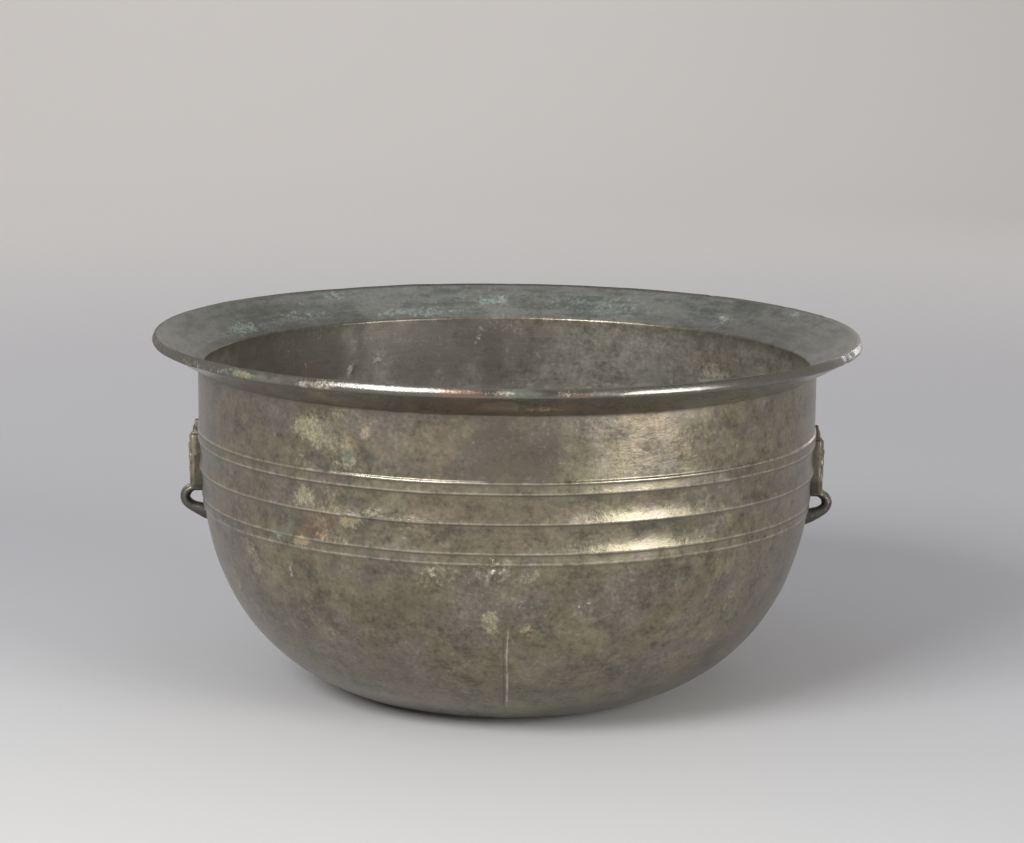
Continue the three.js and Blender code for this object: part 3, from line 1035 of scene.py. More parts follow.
    def azimuths(self) -> np.ndarray:
        """The columns' azimuths, closest at the seam and close over the seen front.

        The density is 1 plus bells at the front, at the crusted stretch and at the seam. The
        columns stand where its running total passes equal steps.
        """
        turn = np.linspace(-180.0, 180.0, 7201)
        density = (1.0 + 0.8 * hump(turn, 70.0) + 0.8 * hump(turn + 32.0, 13.0)
                   + 7.0 * hump(turn - 0.7, 1.0) + 6.0 * hump(turn + 2.2, 2.6))
        total = np.r_[0.0, np.cumsum((density[1:] + density[:-1]) / 2)]
        shares = np.arange(self.columns) / self.columns * total[-1]
        return np.interp(shares, total, turn)

    def build(self) -> bpy.types.Object:
        """Makes the vessel's mesh with the measures that its finish reads.

        Returns:
            The vessel's object.
        """
        outline, faces = self.outline()
        azimuth = self.azimuths()
        turn = np.radians(azimuth)
        round_about = np.stack([np.sin(turn), -np.cos(turn), np.zeros_like(turn)], axis=1)
        along = np.gradient(outline, axis=0)
        along /= np.linalg.norm(along, axis=1)[:, None]
        normal = np.stack([along[:, 1], -along[:, 0]], axis=1)
        up = np.array([0.0, 0.0, 1.0])
        place = outline[:, None, :1] * round_about + outline[:, None, 1:] * up
        outwards = normal[:, None, :1] * round_about + normal[:, None, 1:] * up
        cover = self.measures(place, outline, faces, azimuth)
        lift = self.relief(place, outline, faces, azimuth, cover)
        place = place + lift[..., None] * outwards
        place += self.sway(place, faces)[..., None] * up
        base = faces == Face.BASE.value
        hollow = self.base_hollow * (1.0 - (outline[base, 0] / self.base_radius) ** 2)
        place[base, :, 2] = hollow[:, None] * (1.0 + 0.5 * Noise(32).at(place[base], 30 * MM, 2))
        place[..., 2] = np.maximum(place[..., 2], 0.0)
        floor_centre = np.array([0.0, 0.0, place[-1, :, 2].mean()])
        shell = Shell(place, np.array([0.0, 0.0, self.base_hollow]), floor_centre)
        vertices, blocks = shell.arrays()
        piece = mesh_object("bronze_vessel", vertices, outward(vertices, blocks))
        for name, values in cover.items():
            poles = [values[0].mean(), values[-1].mean()]
            store(piece, name, np.r_[values.ravel(), poles])
        return piece

    def measures(self, place: np.ndarray, outline: np.ndarray, faces: np.ndarray,
                 azimuth: np.ndarray) -> dict[str, np.ndarray]:
        """How strongly each surface and each bloom covers each vertex.

        Args:
            place: the grid's points.
            outline: the (radius, height) of each row.
            faces: the Face number of each row.
            azimuth: the azimuth of each column.

        Returns:
            A grid of shares from 0 to about 1 for each measure's name.
        """
        level = np.ones(len(azimuth))
        height = outline[:, 1]
        crest = sum(hump(height - line - 0.1 * MM, 0.42 * MM) for line in self.lines)
        crest = np.where(faces == Face.BELT.value, crest, 0.0)
        # Painted shade goes just under the step of each line
        root = self.line_edge / 2 + self.line_step * 0.75
        shade_lines = sum(hump(height - line + root, 0.5 * MM) for line in self.lines[:-1])
        shade_lines = np.where(faces == Face.BELT.value, shade_lines, 0.0)
        length = np.r_[0.0, np.cumsum(np.linalg.norm(np.diff(outline, axis=0), axis=1))]
        edges = {
            "neck": np.flatnonzero(faces == Face.WALL.value)[-1] + 2,
            "lip_top": np.flatnonzero(faces == Face.LIP.value)[-1],
            "corner": np.flatnonzero(faces == Face.FLANGE.value)[-1] + 2,
        }
        # Painted shade under the flange, at the neck
        shade_lines = shade_lines + 0.55 * hump(length - length[edges["neck"]], 1.3 * MM)
        inside = np.isin(faces, (Face.INNER.value, Face.FLOOR.value)).astype(float)
        inside *= smooth(0.0, 2.2 * MM, length - length[edges["corner"]])
        flange = np.where(faces == Face.FLANGE.value, 1.0, 0.0)
        flange *= smooth(-0.5 * MM, 1.2 * MM, length - length[edges["lip_top"]])
        lip = np.where(np.isin(faces, (Face.LIP.value, Face.UNDER.value)), 1.0, 0.0)
        lip *= 0.25 + 0.75 * smooth(9 * MM, 23 * MM, length - length[edges["neck"]])
        lip *= smooth(0.5 * MM, 5.0 * MM, length - length[edges["neck"]])
        cover = {
            name: row[:, None] * level
            for name, row in {
                "inside": inside, "flange": flange, "lip": lip, "crest": crest, "shade_lines": shade_lines,
            }.items()
        }
        # Painted highlight: the flange's inner corner made paler with the worn colour round the far side
        corner = hump(length - length[edges["corner"]], 0.8 * MM)[:, None]
        cover["crest"] = cover["crest"] + 0.6 * corner * hump(wrapped(azimuth - 170.0), 20.0)
        for bloom in Bloom:
            cover[bloom.value] = np.zeros(place.shape[:2])
        warp = Noise(3).at(place, 9 * MM, 4)
        for patch in self.patches:
            rows = np.isin(faces, [face.value for face in patch.side.value])
            shares = self.spread(patch, outline, length, faces, azimuth, warp)
            grid = cover[patch.bloom.value]
            grid[rows] = np.maximum(grid[rows], shares[rows])
        # The seam's fin is made pale with the worn colour and bone; the flaw's knob and rays too, partly as
        # pale corrosion and partly as painted highlight
        on_bowl = (faces == Face.BOWL.value)[:, None]
        flaw = self.flaw(azimuth, outline)
        fin = 1.5 * self.seam(azimuth, outline) + flaw
        cover["crest"] = cover["crest"] + np.where(on_bowl, fin, 0.0)
        # Painted shadow along the left side of the seam's fin
        seam_shadow = 1.1 * self.seam(azimuth + 0.72, outline)
        cover["shade_lines"] = cover["shade_lines"] + np.where(on_bowl, seam_shadow, 0.0)
        bone = cover[Bloom.BONE.value]
        bone += np.where(on_bowl, smooth(0.74, 1.04, flaw) + 0.4 * self.seam(azimuth, outline), 0.0)
        return cover

    def spread(self, patch: Patch, outline: np.ndarray, length: np.ndarray, faces: np.ndarray,
               azimuth: np.ndarray, warp: np.ndarray) -> np.ndarray:
        """One patch's share over the grid: an oval whose edge is pulled about by noise."""
        rows = np.isin(faces, [face.value for face in patch.side.value])
        heights, lengths = outline[rows, 1], length[rows]
        order = np.argsort(heights)
        middle = np.interp(patch.height * MM, heights[order], lengths[order])
        side = np.radians(wrapped(azimuth - patch.azimuth))[None, :] * outline[:, :1]
        away = (length - middle)[:, None]
        oval = np.hypot(side / (patch.across * MM), away / (patch.tall * MM))
        return patch.strength * smooth(1.5, 0.35, oval + 0.8 * warp)

    def seam(self, azimuth: np.ndarray, outline: np.ndarray) -> np.ndarray:
        """The casting seam low on the front: a thin upright fin that fades at both ends."""
        height = outline[:, 1:]
        bend = 0.75 + 0.25 * np.sin(height / (9 * MM)) * smooth(20 * MM, 50 * MM, height)
        aside = np.radians(azimuth - bend) * outline[:, :1]
        ends = smooth(13 * MM, 18 * MM, height) * smooth(60 * MM, 54 * MM, height)
        return hump(aside, 0.38 * MM) * ends

    def flaw(self, azimuth: np.ndarray, outline: np.ndarray) -> np.ndarray:
        """The casting flaw under the lowest line: a knob with ridges that run out from it.

        The knob is a bell, and the ridges are a power of the cosine of seven times the
        bearing, faded in and out with the distance.
        """
        aside = np.radians(azimuth - self.flaw_azimuth) * outline[:, :1]
        above = outline[:, 1:] - self.flaw_height
        away = np.hypot(aside, above)
        bearing = np.arctan2(above, aside)
        rays = np.maximum(np.cos(bearing * 3.5 + 0.6), 0.0) ** 4
        ring = smooth(1.0 * MM, 2.2 * MM, away) * smooth(8.5 * MM, 4.0 * MM, away)
        return hump(away, 1.2 * MM) + 0.62 * rays * ring

    def relief(self, place: np.ndarray, outline: np.ndarray, faces: np.ndarray,
               azimuth: np.ndarray, cover: dict[str, np.ndarray]) -> np.ndarray:
        """How far each vertex is moved outwards by the casting's unevenness.

        Args:
            place: the grid's points.
            outline: the (radius, height) of each row.
            faces: the Face number of each row.
            azimuth: the azimuth of each column.
            cover: the measures, of which crusts and scabs build up.

        Returns:
            The distances along the outline's normal.
        """
        outside = np.isin(faces, [face.value for face in Side.OUTSIDE.value])[:, None]
        lift = 0.24 * MM * Noise(21).at(place, 46 * MM, 2)
        lift += 0.085 * MM * Noise(22).at(place, 13 * MM, 3)
        lines = np.where(faces == Face.BELT.value, self.line_profile(outline[:, 1]), 0.0)
        lift += lines[:, None] * (0.05 + 0.30 * Noise(23).at(place, 22 * MM, 2))
        crust = cover[Bloom.CRUST.value] + 0.6 * cover[Bloom.OCHRE.value]
        lift += 0.10 * MM * smooth(0.1, 0.6, crust)
        lift += 0.34 * MM * np.clip(crust, 0, 1.2) * np.clip(Noise(24).at(place, 3.4 * MM, 2), 0, 1)
        scabs = cover[Bloom.TURQUOISE.value] + cover[Bloom.BONE.value]
        lift += 0.28 * MM * np.clip(scabs, 0, 1.2) * (0.5 + 0.5 * Noise(25).at(place, 2.4 * MM, 2))
        lift += np.where(outside, 0.7 * MM * self.seam(azimuth, outline)
                         * (0.75 + 0.5 * Noise(26).at(place, 5 * MM, 2)), 0.0)
        lift += np.where(outside, 1.3 * MM * self.flaw(azimuth, outline), 0.0)
        nicks = smooth(0.52, 0.80, Noise(27).at(place, 8 * MM, 2))
        rim = np.isin(faces, (Face.LIP.value,))[:, None]
        lift -= np.where(rim, 0.35 * MM * nicks, 0.0)
        lift += np.where(rim, 0.14 * MM * Noise(28).at(place, 17 * MM, 2), 0.0)
        return lift

    def sway(self, place: np.ndarray, faces: np.ndarray) -> np.ndarray:
        """The slow rise and fall of the lines and of the mouth round the vessel."""
        belt = np.isin(faces, (Face.BELT.value,))[:, None]
        slow = Noise(31).at(place * (1, 1, 0.2), 60 * MM, 2)
        height = place[..., 2]
        edge_free = smooth(self.belt_foot, self.lines[-1], height)
        edge_free = edge_free * smooth(self.lines[0] + 3 * MM, self.lines[0], height)
        mouth = smooth(self.neck, self.height, height)
        return np.where(belt, 0.28 * MM * slow * edge_free, 0.0) - 0.30 * MM * mouth * (0.5 + 0.5 * slow)


# The mask handles


class Hand(Enum):
    """The two handles. Each value is the way it faces along X."""

    LEFT = -1
    RIGHT = 1

    @property
    def node(self) -> str:
        """The frame's node that this handle stands for."""
        return f"handle_{self.name.lower()}"


@dataclass
class MaskHandle:
    """A beast's mask in relief on the wall, with a fixed loop under its snout.

    The mask is laid out in across, measured along the wall, and up, measured from its foot.
    Every height of the relief is measured off the plain belly.
    """

    vessel: Vessel
    hand: Hand
    half_width: float = 16.5 * MM
    tall: float = 32.2 * MM
    crest_above_line: float = 0.7 * MM
    plate_proud: float = 3.3 * MM
    crest_proud: float = 2.4 * MM
    relief_proud: float = 5.1 * MM
    snout_proud: float = 4.3 * MM
    horn_end_proud: float = 4.1 * MM
    horn_radius: float = 1.7 * MM
    jowl_radius: float = 1.4 * MM
    eye_radius: float = 2.9 * MM
    eye_place: tuple[float, float] = (0.41, 0.49)
    edge_rounding: float = 0.7 * MM
    redness: float = 0.0
    loop_width: float = 6.6 * MM
    loop_thickness: float = 4.3 * MM
    loop_groove: float = 0.20
    loop_path: tuple[tuple[float, float], ...] = (
        (-1.6 * MM, 0.3 * MM), (1.0 * MM, 0.4 * MM), (3.4 * MM, -0.1 * MM),
        (6.1 * MM, -1.9 * MM), (7.2 * MM, -4.7 * MM), (6.1 * MM, -7.4 * MM),
        (3.6 * MM, -9.2 * MM), (0.8 * MM, -10.4 * MM), (-2.0 * MM, -11.5 * MM),
        (-4.6 * MM, -12.5 * MM),
    )
    centre: tuple[float, float] = (0.0, 0.45)
    spokes: int = 320
    rings: int = 84

    def __post_init__(self) -> None:
        """Works out where the mask's foot is."""
        self.foot = self.vessel.lines[0] + self.crest_above_line - self.tall

    def flat(self, shares: Sequence[Sequence[float]]) -> np.ndarray:
        """Places given as shares of the half width and of the height, in metres."""
        return np.array(shares, float) * (self.half_width, self.tall)

    def both(self, half: Sequence[Sequence[float]]) -> np.ndarray:
        """A closed outline from its right half, which runs from the top middle to the foot."""
        right = catmull(self.flat(half), 6)
        return np.vstack([right, right[-2:0:-1] * (-1, 1)])

    def outlines(self) -> dict[str, np.ndarray]:
        """The closed outlines of the mask's flat forms."""
        return {
            "plate": self.both([[0, .83], [.45, .8], [.97, .87], [.97, .62], [.92, .45],
                                [.91, .27], [.66, .09], [.3, .02], [0, 0]]),
            "crest": self.both([[0, 1], [.1, .92], [.27, .8], [.2, .66], [0, .6]]),
            "nose": self.both([[0, .84], [.17, .76], [.1, .66], [.1, .5], [.22, .27], [.2, .2],
                               [0, .19]]),
            "snout": self.both([[0, .26], [.3, .2], [.36, .08], [.24, -.03], [0, -.05]]),
        }

    @staticmethod
    def depth_inside(points: np.ndarray, outline: np.ndarray) -> np.ndarray:
        """Distance to a closed outline, positive inside it and negative outside.

        The sign comes from how many of the outline's sides a line to the right crosses.
        """
        closed = np.vstack([outline, outline[:1]])
        gap, _ = distance_to_line(points, closed)
        crossings = np.zeros(points.shape[:-1], int)
        for (x0, y0), (x1, y1) in zip(closed[:-1], closed[1:]):
            if y0 == y1:
                continue
            spans = (y0 > points[..., 1]) != (y1 > points[..., 1])
            hit = x0 + (points[..., 1] - y0) / (y1 - y0) * (x1 - x0)
            crossings += spans & (points[..., 0] < hit)
        return np.where(crossings % 2 == 1, gap, -gap)

    def relief(self, points: np.ndarray) -> np.ndarray:
        """The height of the mask's front off the belly.

        Each form is a height of its own, and the highest wins at each place. Horns and
        jowls are round bars, eyes are balls, and grooves are cut into what is there.

        Args:
            points: places on the mask as across and up.

        Returns:
            The heights.
        """
        outlines = self.outlines()
        depth = {name: self.depth_inside(points, line) for name, line in outlines.items()}
        mirrored = np.stack([np.abs(points[..., 0]), points[..., 1]], axis=-1)
        eye = self.flat([self.eye_place])[0]
        from_eye = np.linalg.norm(mirrored - eye, axis=-1)
        plate = self.plate_proud - 0.35 * MM * smooth(0.0, 5 * MM, depth["plate"])
        height = np.where(depth["plate"] > -0.4 * MM, plate, self.crest_proud)
        crest = self.crest_proud + 1.0 * MM * smooth(0.0, 2.2 * MM, depth["crest"])
        vein = np.abs(np.abs(points[..., 0]) - 0.09 * self.half_width * smooth(
            self.tall, 0.62 * self.tall, points[..., 1]) * 1.6)
        crest = crest - 0.45 * MM * hump(vein, 0.32 * MM)
        height = np.where(depth["crest"] > 0, np.maximum(height, crest), height)
        nose = self.plate_proud - 0.5 * MM + (self.relief_proud - self.plate_proud + 0.5 * MM) * np.sqrt(
            smooth(0.0, 2.0 * MM, depth["nose"]))
        height = np.where(depth["nose"] > 0, np.maximum(height, nose), height)
        snout = self.plate_proud - 1.0 * MM + (self.snout_proud - self.plate_proud + 1.4 * MM) * np.sqrt(
            smooth(0.0, 2.4 * MM, depth["snout"]))
        height = np.where(depth["snout"] > 0, np.maximum(height, snout), height)
        horn = self.bar([[.1, .5], [.28, .62], [.54, .67], [.78, .61], [.85, .73], [.68, .78]],
                        self.horn_radius, (self.relief_proud, self.horn_end_proud), mirrored, 13)
        jowl = self.bar([[.3, .12], [.52, .13], [.72, .25], [.64, .36], [.48, .32]],
                        self.jowl_radius, (self.snout_proud, self.snout_proud), mirrored, 8)
        height = np.maximum(height, np.maximum(horn, jowl))
        ball = self.relief_proud - self.eye_radius + np.sqrt(
            np.maximum(self.eye_radius**2 - from_eye**2, 0.0))
        height = np.where(from_eye < self.eye_radius, np.maximum(height, ball), height)
        lid = self.relief_proud - 1.5 * MM + np.sqrt(
            np.maximum((0.7 * MM) ** 2 - (from_eye - 3.5 * MM) ** 2, 0.0))
        height = np.where(np.abs(from_eye - 3.5 * MM) < 0.7 * MM, np.maximum(height, lid), height)
        height -= 0.75 * MM * hump(from_eye, 0.85 * MM)
        nostril = np.linalg.norm(mirrored - self.flat([[.15, .07]])[0], axis=-1)
        height -= 0.8 * MM * hump(nostril, 0.8 * MM)
        return height + self.hairs(points, mirrored, depth["plate"])

    def bar(self, shares: Sequence[Sequence[float]], radius: float, proud: tuple[float, float],
            points: np.ndarray, notches: int) -> np.ndarray:
        """A round bar of relief with a groove along it and notches across it.

        Args:
            shares: the places along it.
            radius: half its thickness.
            proud: how high its top stands at its start and at its end.
            points: places on the mask, its left half mirrored on the right.
            notches: how many shallow cuts cross it.

        Returns:
            Its height, and minus one beyond it.
        """
        gap, along = distance_to_line(points, catmull(self.flat(shares), 5))
        taper = 1.0 - 0.30 * smooth(0.75, 1.0, along)
        wide = radius * taper
        top = proud[0] + (proud[1] - proud[0]) * smooth(0.35, 0.75, along)
        round_top = top - radius + np.sqrt(np.maximum(wide**2 - gap**2, 0.0))
        groove = 0.42 * MM * hump(gap, 0.30 * MM)
        cut = 0.16 * MM * np.maximum(np.cos(along * notches * 2 * math.pi), 0.0) ** 4
        return np.where(gap < wide, round_top - groove - cut * smooth(0.4 * MM, 0.9 * MM, gap), -1.0)

    def hairs(self, points: np.ndarray, mirrored: np.ndarray, depth: np.ndarray) -> np.ndarray:
        """Shallow strokes that fan out over the brow and the cheeks, near the plate's edge."""
        origin = self.flat([[0.0, 0.42]])[0]
        bearing = np.arctan2(mirrored[..., 1] - origin[1], mirrored[..., 0] - origin[0])
        strokes = np.maximum(np.cos(bearing * 44.0), 0.0) ** 3
        rim = smooth(0.7 * MM, 1.2 * MM, depth) * smooth(4.4 * MM, 3.2 * MM, depth)
        border = 0.22 * MM * hump(depth - 0.9 * MM, 0.28 * MM)
        return -0.22 * MM * strokes * rim - border

    def on_wall(self, across: np.ndarray, up: np.ndarray, proud: np.ndarray) -> np.ndarray:
        """Places in space: round the vessel by across over the belly's radius."""
        radius = self.vessel.belly_radius + proud
        turn = across / self.vessel.belly_radius
        sign = self.hand.value
        return np.stack([sign * radius * np.cos(turn), sign * radius * np.sin(turn), up], axis=-1)

    def reach(self, bearings: np.ndarray) -> np.ndarray:
        """How far the mask reaches from its centre along each bearing.

        Each bearing's ray is crossed with every side of the outlines of plate, crest and
        snout, and the farthest crossing counts.
        """
        centre = self.flat([self.centre])[0]
        direction = np.stack([np.cos(bearings), np.sin(bearings)], axis=-1)
        farthest = np.zeros(len(bearings))
        outlines = self.outlines()
        for name in ("plate", "crest", "snout"):
            line = outlines[name]
            for start, end in zip(line, np.roll(line, -1, axis=0)):
                side = end - start
                cross = direction[:, 0] * side[1] - direction[:, 1] * side[0]
                safe = np.where(np.abs(cross) < 1e-12, 1e-12, cross)
                offset = start - centre
                far = (offset[0] * side[1] - offset[1] * side[0]) / safe
                share = (offset[0] * direction[:, 1] - offset[1] * direction[:, 0]) / safe
                hit = (share >= 0) & (share <= 1) & (far > 0) & (np.abs(cross) > 1e-12)
                farthest = np.where(hit, np.maximum(farthest, far), farthest)
        return farthest

    def mask_shell(self) -> Shell:
        """The mask as rings about its centre: the front, the rounded edge, the rim and the back."""
        bearings = np.linspace(0.0, 2 * math.pi, self.spokes, endpoint=False)
        reach = self.reach(bearings)
        wobble = Noise(41 + self.hand.value).at(
            np.stack([np.cos(bearings), np.sin(bearings), 0 * bearings], axis=-1), 0.35, 2)
        reach = reach * (1 + 0.012 * wobble)
        direction = np.stack([np.cos(bearings), np.sin(bearings)], axis=-1)
        centre = self.flat([self.centre])[0]
        soft = self.edge_rounding
        shares = np.linspace(0.0, 1.0, self.rings + 1)[1:]
        front = shares[:, None] * (reach - soft)[None, :]
        flat = centre + front[..., None] * direction
        raised = self.relief(flat) + 0.07 * MM * self.worn(flat)
        last = raised[-1]
        turn = np.linspace(0.0, math.pi / 2, 6)[1:, None]
        edge_far = (reach - soft)[None, :] + soft * np.sin(turn)
        edge_up = last[None, :] - soft * (1.0 - np.cos(turn))
        sunk = -2.0 * MM
        rim = np.linspace(0.0, 1.0, 6)[1:, None]
        rim_up = (last - soft)[None, :] * (1 - rim) + sunk * rim
        back_far = np.linspace(1.0, 0.0, 7)[1:-1, None] * reach[None, :]
        far = np.vstack([front, edge_far, np.repeat(reach[None, :], 5, axis=0), back_far])
        proud = np.vstack([raised, edge_up, rim_up, np.full(back_far.shape, sunk)])
        spot = centre + far[..., None] * direction
        rows = self.on_wall(spot[..., 0], spot[..., 1] + self.foot, self.seated(spot, proud))
        middle = centre[None, :]
        top = self.on_wall(middle[:, 0], middle[:, 1] + self.foot, self.relief(middle))[0]
        back = self.on_wall(middle[:, 0], middle[:, 1] + self.foot,
                            self.seated(middle, np.array([sunk])))[0]
        return Shell(rows, top, back)

    def seated(self, spot: np.ndarray, proud: np.ndarray) -> np.ndarray:
        """Heights with those under the surface drawn in with the belly, to sit in its wall."""
        height = spot[..., 1] + self.foot
        tuck = self.vessel.plain_radius(height) - self.vessel.belly_radius
        return proud + tuck * smooth(2.0 * MM, -1.0 * MM, proud)

    def worn(self, flat: np.ndarray) -> np.ndarray:
        """Uneven wear of the relief, different on the two handles."""
        spot = np.concatenate([flat, np.zeros(flat.shape[:-1] + (1,))], axis=-1)
        return Noise(51 + self.hand.value).at(spot, 3.2 * MM, 3)

    def loop_shell(self) -> Shell:
        """The fixed loop: an oval section carried out of the snout, round and into the wall.

        The path lies in the upright plane through the middle of the mask. The section's
        long way lies across, and its short way along the path's normal. Two grooves run
        along its outer side.
        """
        path = spaced(catmull(np.array(self.loop_path) + (0.0, self.foot), 8), 0.42 * MM)
        along = np.gradient(path, axis=0)
        along /= np.linalg.norm(along, axis=1)[:, None]
        across = np.stack([along[:, 1], -along[:, 0]], axis=1)
        ring = np.linspace(0.0, 2 * math.pi, 64, endpoint=False)
        grooves = 1.0 - self.loop_groove * hump(np.abs(ring - math.pi) - 0.62, 0.20)
        passed = np.linspace(0.0, 1.0, len(path))
        gauge = self.loop_thickness * (0.80 + 0.30 * smooth(0.08, 0.40, passed)
                                       + 0.50 * smooth(0.55, 0.95, passed))
        spot = np.concatenate([path, np.zeros((len(path), 1))], axis=1)
        uneven = 1.0 + 0.04 * Noise(61 + self.hand.value).at(spot, 3.0 * MM, 2)
        thick = (gauge / 2 * uneven)[:, None] * np.cos(ring) * grooves
        wide = (self.loop_width / 2 * uneven)[:, None] * np.sin(ring) * grooves
        proud = path[:, :1] + thick * across[:, :1]
        up = path[:, 1:] + thick * across[:, 1:]
        rows = self.on_wall(wide, up, proud)
        ends = [self.on_wall(np.zeros(1), path[k, 1:], path[k, :1])[0] for k in (0, -1)]
        return Shell(rows, ends[0], ends[1])

    def build(self) -> bpy.types.Object:
        """Makes the handle: the mask joined with its loop, and its measures.

        Returns:
            The handle's object.
        """
        name = f"mask_{self.hand.name.lower()}"
        parts = []
        for label, shell in ((name, self.mask_shell()), (name + "_loop", self.loop_shell())):
            vertices, blocks = shell.arrays()
            parts.append(mesh_object(label, vertices, outward(vertices, blocks)))
        mask, loop = parts
        join = mask.modifiers.new("join", "BOOLEAN")
        join.operation, join.solver, join.object = "UNION", "EXACT", loop
        graph = bpy.context.evaluated_depsgraph_get()
        joined = bpy.data.meshes.new_from_object(mask.evaluated_get(graph))
        joined.name = name
        mask.modifiers.clear()
        old = mask.data
        mask.data = joined
        bpy.data.meshes.remove(old)
        bpy.data.objects.remove(loop)
        joined.polygons.foreach_set("use_smooth", np.ones(len(joined.polygons), bool))
        self.keep_measures(mask)
        return mask

    def keep_measures(self, piece: bpy.types.Object) -> None:
        """Stores how far each vertex stands out of its surroundings, and how near it is to the rim."""
        count = len(piece.data.vertices)
        flat = np.empty(count * 3, np.float32)
        piece.data.vertices.foreach_get("co", flat)
        place = flat.reshape(-1, 3).astype(float) * (self.hand.value, self.hand.value, 1)
        radius = np.hypot(place[:, 0], place[:, 1])
        across = np.arctan2(place[:, 1], place[:, 0]) * self.vessel.belly_radius
        spot = np.stack([across, place[:, 2] - self.foot], axis=1)
        step = 0.2 * MM
        wide = np.arange(-self.half_width * 1.2, self.half_width * 1.2, step)
        tall = np.arange(-self.tall * 0.15, self.tall * 1.1, step)
        grid = np.stack(np.meshgrid(wide, tall), axis=-1)
        height = self.relief(grid)
        bell = hump(np.arange(-12, 13) * step, 1.3 * MM)
        bell /= bell.sum()
        level = height
        for axis in (0, 1):
            level = np.apply_along_axis(np.convolve, axis, level, bell, mode="same")
        outcrop = (height - level) / (0.6 * MM)
        column = np.clip(((spot[:, 0] - wide[0]) / step).round().astype(int), 0, len(wide) - 1)
        row = np.clip(((spot[:, 1] - tall[0]) / step).round().astype(int), 0, len(tall) - 1)
        on_front = radius - self.vessel.belly_radius > 1.6 * MM
        on_mask = on_front & (spot[:, 1] > 0.0)
        store(piece, "relief", np.where(on_mask, np.clip(outcrop[row, column], -1, 1), 0.0))
        centre = self.flat([self.centre])[0]
        offset = spot - centre
        bearing = np.arctan2(offset[:, 1], offset[:, 0])
        share = np.linalg.norm(offset, axis=1) / np.maximum(self.reach(bearing), MM)
        # Where the painted shade along the rim goes
        store(piece, "edge", smooth(0.93, 1.0, share))
        store(piece, "loop", smooth(0.5 * MM, -1.0 * MM, spot[:, 1]))
        store(piece, "red", np.full(count, self.redness))


# The studio


@dataclass(frozen=True)
class Paper:
    """A pale matt sweep with a painted pool of light on the floor in front of and left of the vessel, and a lit
    backdrop far from it.

    The backdrop's own lamps are left out. The far paper glows faintly in their place, and
    isn't searched for as a lamp, which would only cost time. The whole is toned across the
    vessel by 1.02 - 0.10x - 0.12x^2 as painted light and shade, so that its left is lighter.
    """

    # The colour of the painted pool of light on the floor
    near: Colour = (0.560, 0.560, 0.558)
    middle: Colour = (0.475, 0.475, 0.497)
    far: Colour = (0.50, 0.49, 0.485)
    lamps: Colour = (0.238, 0.224, 0.211)
    light_pool_centre: tuple[float, float, float] = (0.18, 0.53, 0.0)

    def material(self) -> bpy.types.Material:
        """Builds the finish.

        Returns:
            The sweep's material.
        """
        sheet = NodeSheet("paper")
        length = {"operation": "LENGTH"}
        flat = sheet.scaled((1, 1, 0))
        away = sheet.node("VectorMath", length, {"Vector": flat}, "Value")
        offset = sheet.scaled((1, 1, 0), self.light_pool_centre)
        from_light_pool = sheet.node("VectorMath", length, {"Vector": offset}, "Value")
        # Painted pool of light: the near colour round a point in front of and left of the vessel
        colour = sheet.mix(from_light_pool.band(0.22, 0.78), self.near, self.middle)
        colour = sheet.mix(away.band(0.9, 2.6), colour, self.far)
        glow = sheet.mix(away.band(0.36, 2.1), (0.0, 0.0, 0.0), self.lamps)
        # Painted light and shade: the sweep toned lighter on the left, towards the key light, and darker on the
        # right
        side = sheet.node("SeparateXYZ", {}, {"Vector": sheet.place}, "X")
        side = sheet.node("Clamp", {}, {"Value": side, "Min": -1.0, "Max": 1.0})
        tone = 1.02 - 0.10 * side - 0.12 * side * side
        colour, glow = sheet.toned(colour, tone), sheet.toned(glow, tone)
        sheet.material.cycles.emission_sampling = "NONE"
        return sheet.surface(Base_Color=colour, Roughness=0.9, Specular_IOR_Level=0.0,
                             Emission_Color=glow, Emission_Strength=1.0)


@dataclass
class Sweep:
    """The floor and backdrop in one: a flat disc whose edge curves up all round."""

    flat_radius: float = 2.1
    bend: float = 1.8
    top: float = 3.2
    spokes: int = 96

    def build(self) -> bpy.types.Object:
        """Makes the sweep: a line of (radius, height) points turned about Z, open at the top."""
        turn = np.linspace(0.0, math.pi / 2, 25)
        radius = np.r_[np.linspace(0.05, self.flat_radius, 14), self.flat_radius + self.bend * np.sin(turn[1:])]
        height = np.r_[np.zeros(14), self.bend * (1 - np.cos(turn[1:]))]
        radius, height = np.r_[radius, radius[-1]], np.r_[height, self.top]
        around = np.linspace(0.0, 2 * math.pi, self.spokes, endpoint=False)
        rows = np.stack([radius[:, None] * np.cos(around), radius[:, None] * np.sin(around),
                         height[:, None] * np.ones(self.spokes)], axis=-1)
        vertices, blocks = Shell(rows, np.zeros(3), np.zeros(3)).arrays()
        piece = mesh_object("sweep", vertices[:-1], [block[:, ::-1] for block in blocks[:2]])
        piece.data.materials.append(Paper().material())
        return piece


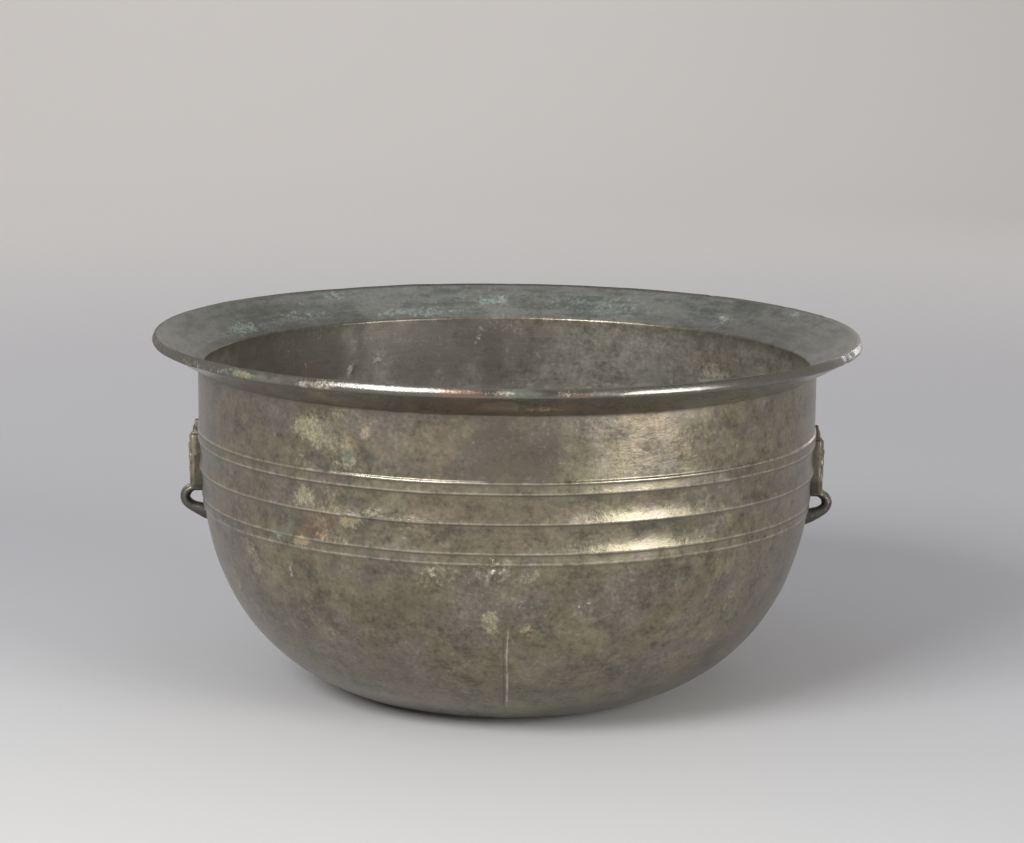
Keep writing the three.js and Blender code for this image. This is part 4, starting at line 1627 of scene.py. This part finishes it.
@dataclass(frozen=True)
class Softbox:
    """A soft rectangular light that looks at the vessel."""

    name: str
    azimuth: float
    elevation: float
    distance: float
    width: float
    tall: float
    power: float
    tint: Colour = (1.0, 1.0, 1.0)

    def place(self, aim: Vector) -> None:
        """Hangs the light.

        Args:
            aim: the point that it looks at.
        """
        turn, rise = math.radians(self.azimuth), math.radians(self.elevation)
        away = Vector((math.sin(turn) * math.cos(rise), -math.cos(turn) * math.cos(rise),
                       math.sin(rise)))
        light = bpy.data.lights.new(self.name, "AREA")
        light.shape = "RECTANGLE"
        light.size, light.size_y = self.width, self.tall
        light.energy, light.color = self.power, self.tint
        lamp = bpy.data.objects.new(self.name, light)
        lamp.location = aim + away * self.distance
        lamp.rotation_euler = (-away).to_track_quat("-Z", "Y").to_euler()
        lamp.visible_camera = False
        bpy.context.scene.collection.objects.link(lamp)


@dataclass
class Studio:
    """The light round the vessel: boxes in front, a strip behind, a ceiling and a grey room."""

    aim: Vector = field(default_factory=lambda: Vector((0.0, 0.0, 0.11)))
    boxes: tuple[Softbox, ...] = (
        Softbox("key", -38.0, 33.0, 2.4, 1.12, 0.90, 50.0),
        Softbox("right_box", 48.5, 13.0, 2.2, 1.03, 1.12, 38.0, (1.0, 0.985, 0.955)),
        Softbox("edge_strip", 146.0, 8.0, 2.0, 0.12, 0.70, 1.4),
        Softbox("ceiling", 0.0, 90.0, 2.6, 3.6, 3.6, 19.0),
    )
    room: Colour = (0.210, 0.210, 0.220)

    def build(self) -> None:
        """Hangs the boxes and sets the room's light and the picture's plain tone curve."""
        for box in self.boxes:
            box.place(self.aim)
        world = bpy.data.worlds.new("room")
        world.use_nodes = True
        background = world.node_tree.nodes["Background"]
        background.inputs["Color"].default_value = (*self.room, 1.0)
        background.inputs["Strength"].default_value = 1.0
        bpy.context.scene.world = world
        bpy.context.scene.view_settings.view_transform = "Standard"


@dataclass(frozen=True)
class Viewpoint:
    """The photograph's camera: in front of the vessel, looking a little down on it."""

    location: tuple[float, float, float] = (0.00245, -1.400, 0.37713)
    pitch: float = 0.178530
    roll: float = 0.0101279
    focal_pixels: float = 3028.69
    sensor: float = 36.0

    def build(self) -> None:
        """Makes the camera: its lens is the focal length in pixels times a pixel's width."""
        data = bpy.data.cameras.new("photograph")
        data.sensor_width = self.sensor
        data.lens = self.focal_pixels * self.sensor / PHOTO_WIDTH
        camera = bpy.data.objects.new("photograph", data)
        camera.matrix_world = (
            Matrix.Translation(self.location)
            @ Matrix.Rotation(math.pi / 2 - self.pitch, 4, "X")
            @ Matrix.Rotation(self.roll, 4, "Z")
        )
        bpy.context.scene.collection.objects.link(camera)
        bpy.context.scene.camera = camera


def settle(piece: bpy.types.Object, node: str, material: bpy.types.Material) -> None:
    """Gives a piece its finish and its place in the frame.

    Args:
        piece: the finished object.
        node: the node of the frame that it stands for.
        material: its finish.
    """
    piece.data.materials.clear()
    piece.data.materials.append(material)
    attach(piece, "root")
    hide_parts(node)
    log.info("%s: %d faces", piece.name, len(piece.data.polygons))


def main() -> None:
    """Builds the camera, the light, the vessel and both handles, then notes the sizes."""
    logging.basicConfig(level=logging.INFO, format="%(name)s: %(message)s")
    Viewpoint().build()
    Studio().build()
    Sweep().build()
    _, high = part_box("basin")
    vessel = Vessel(height=high.z, lip_radius=high.x)
    settle(vessel.build(), "basin", VesselPatina().material())
    mask_finish = MaskPatina().material()
    for hand, redness in ((Hand.LEFT, 0.1), (Hand.RIGHT, 0.8)):
        handle = MaskHandle(vessel, hand, redness=redness)
        settle(handle.build(), hand.node, mask_finish)


if __name__ == "__main__":
    main()
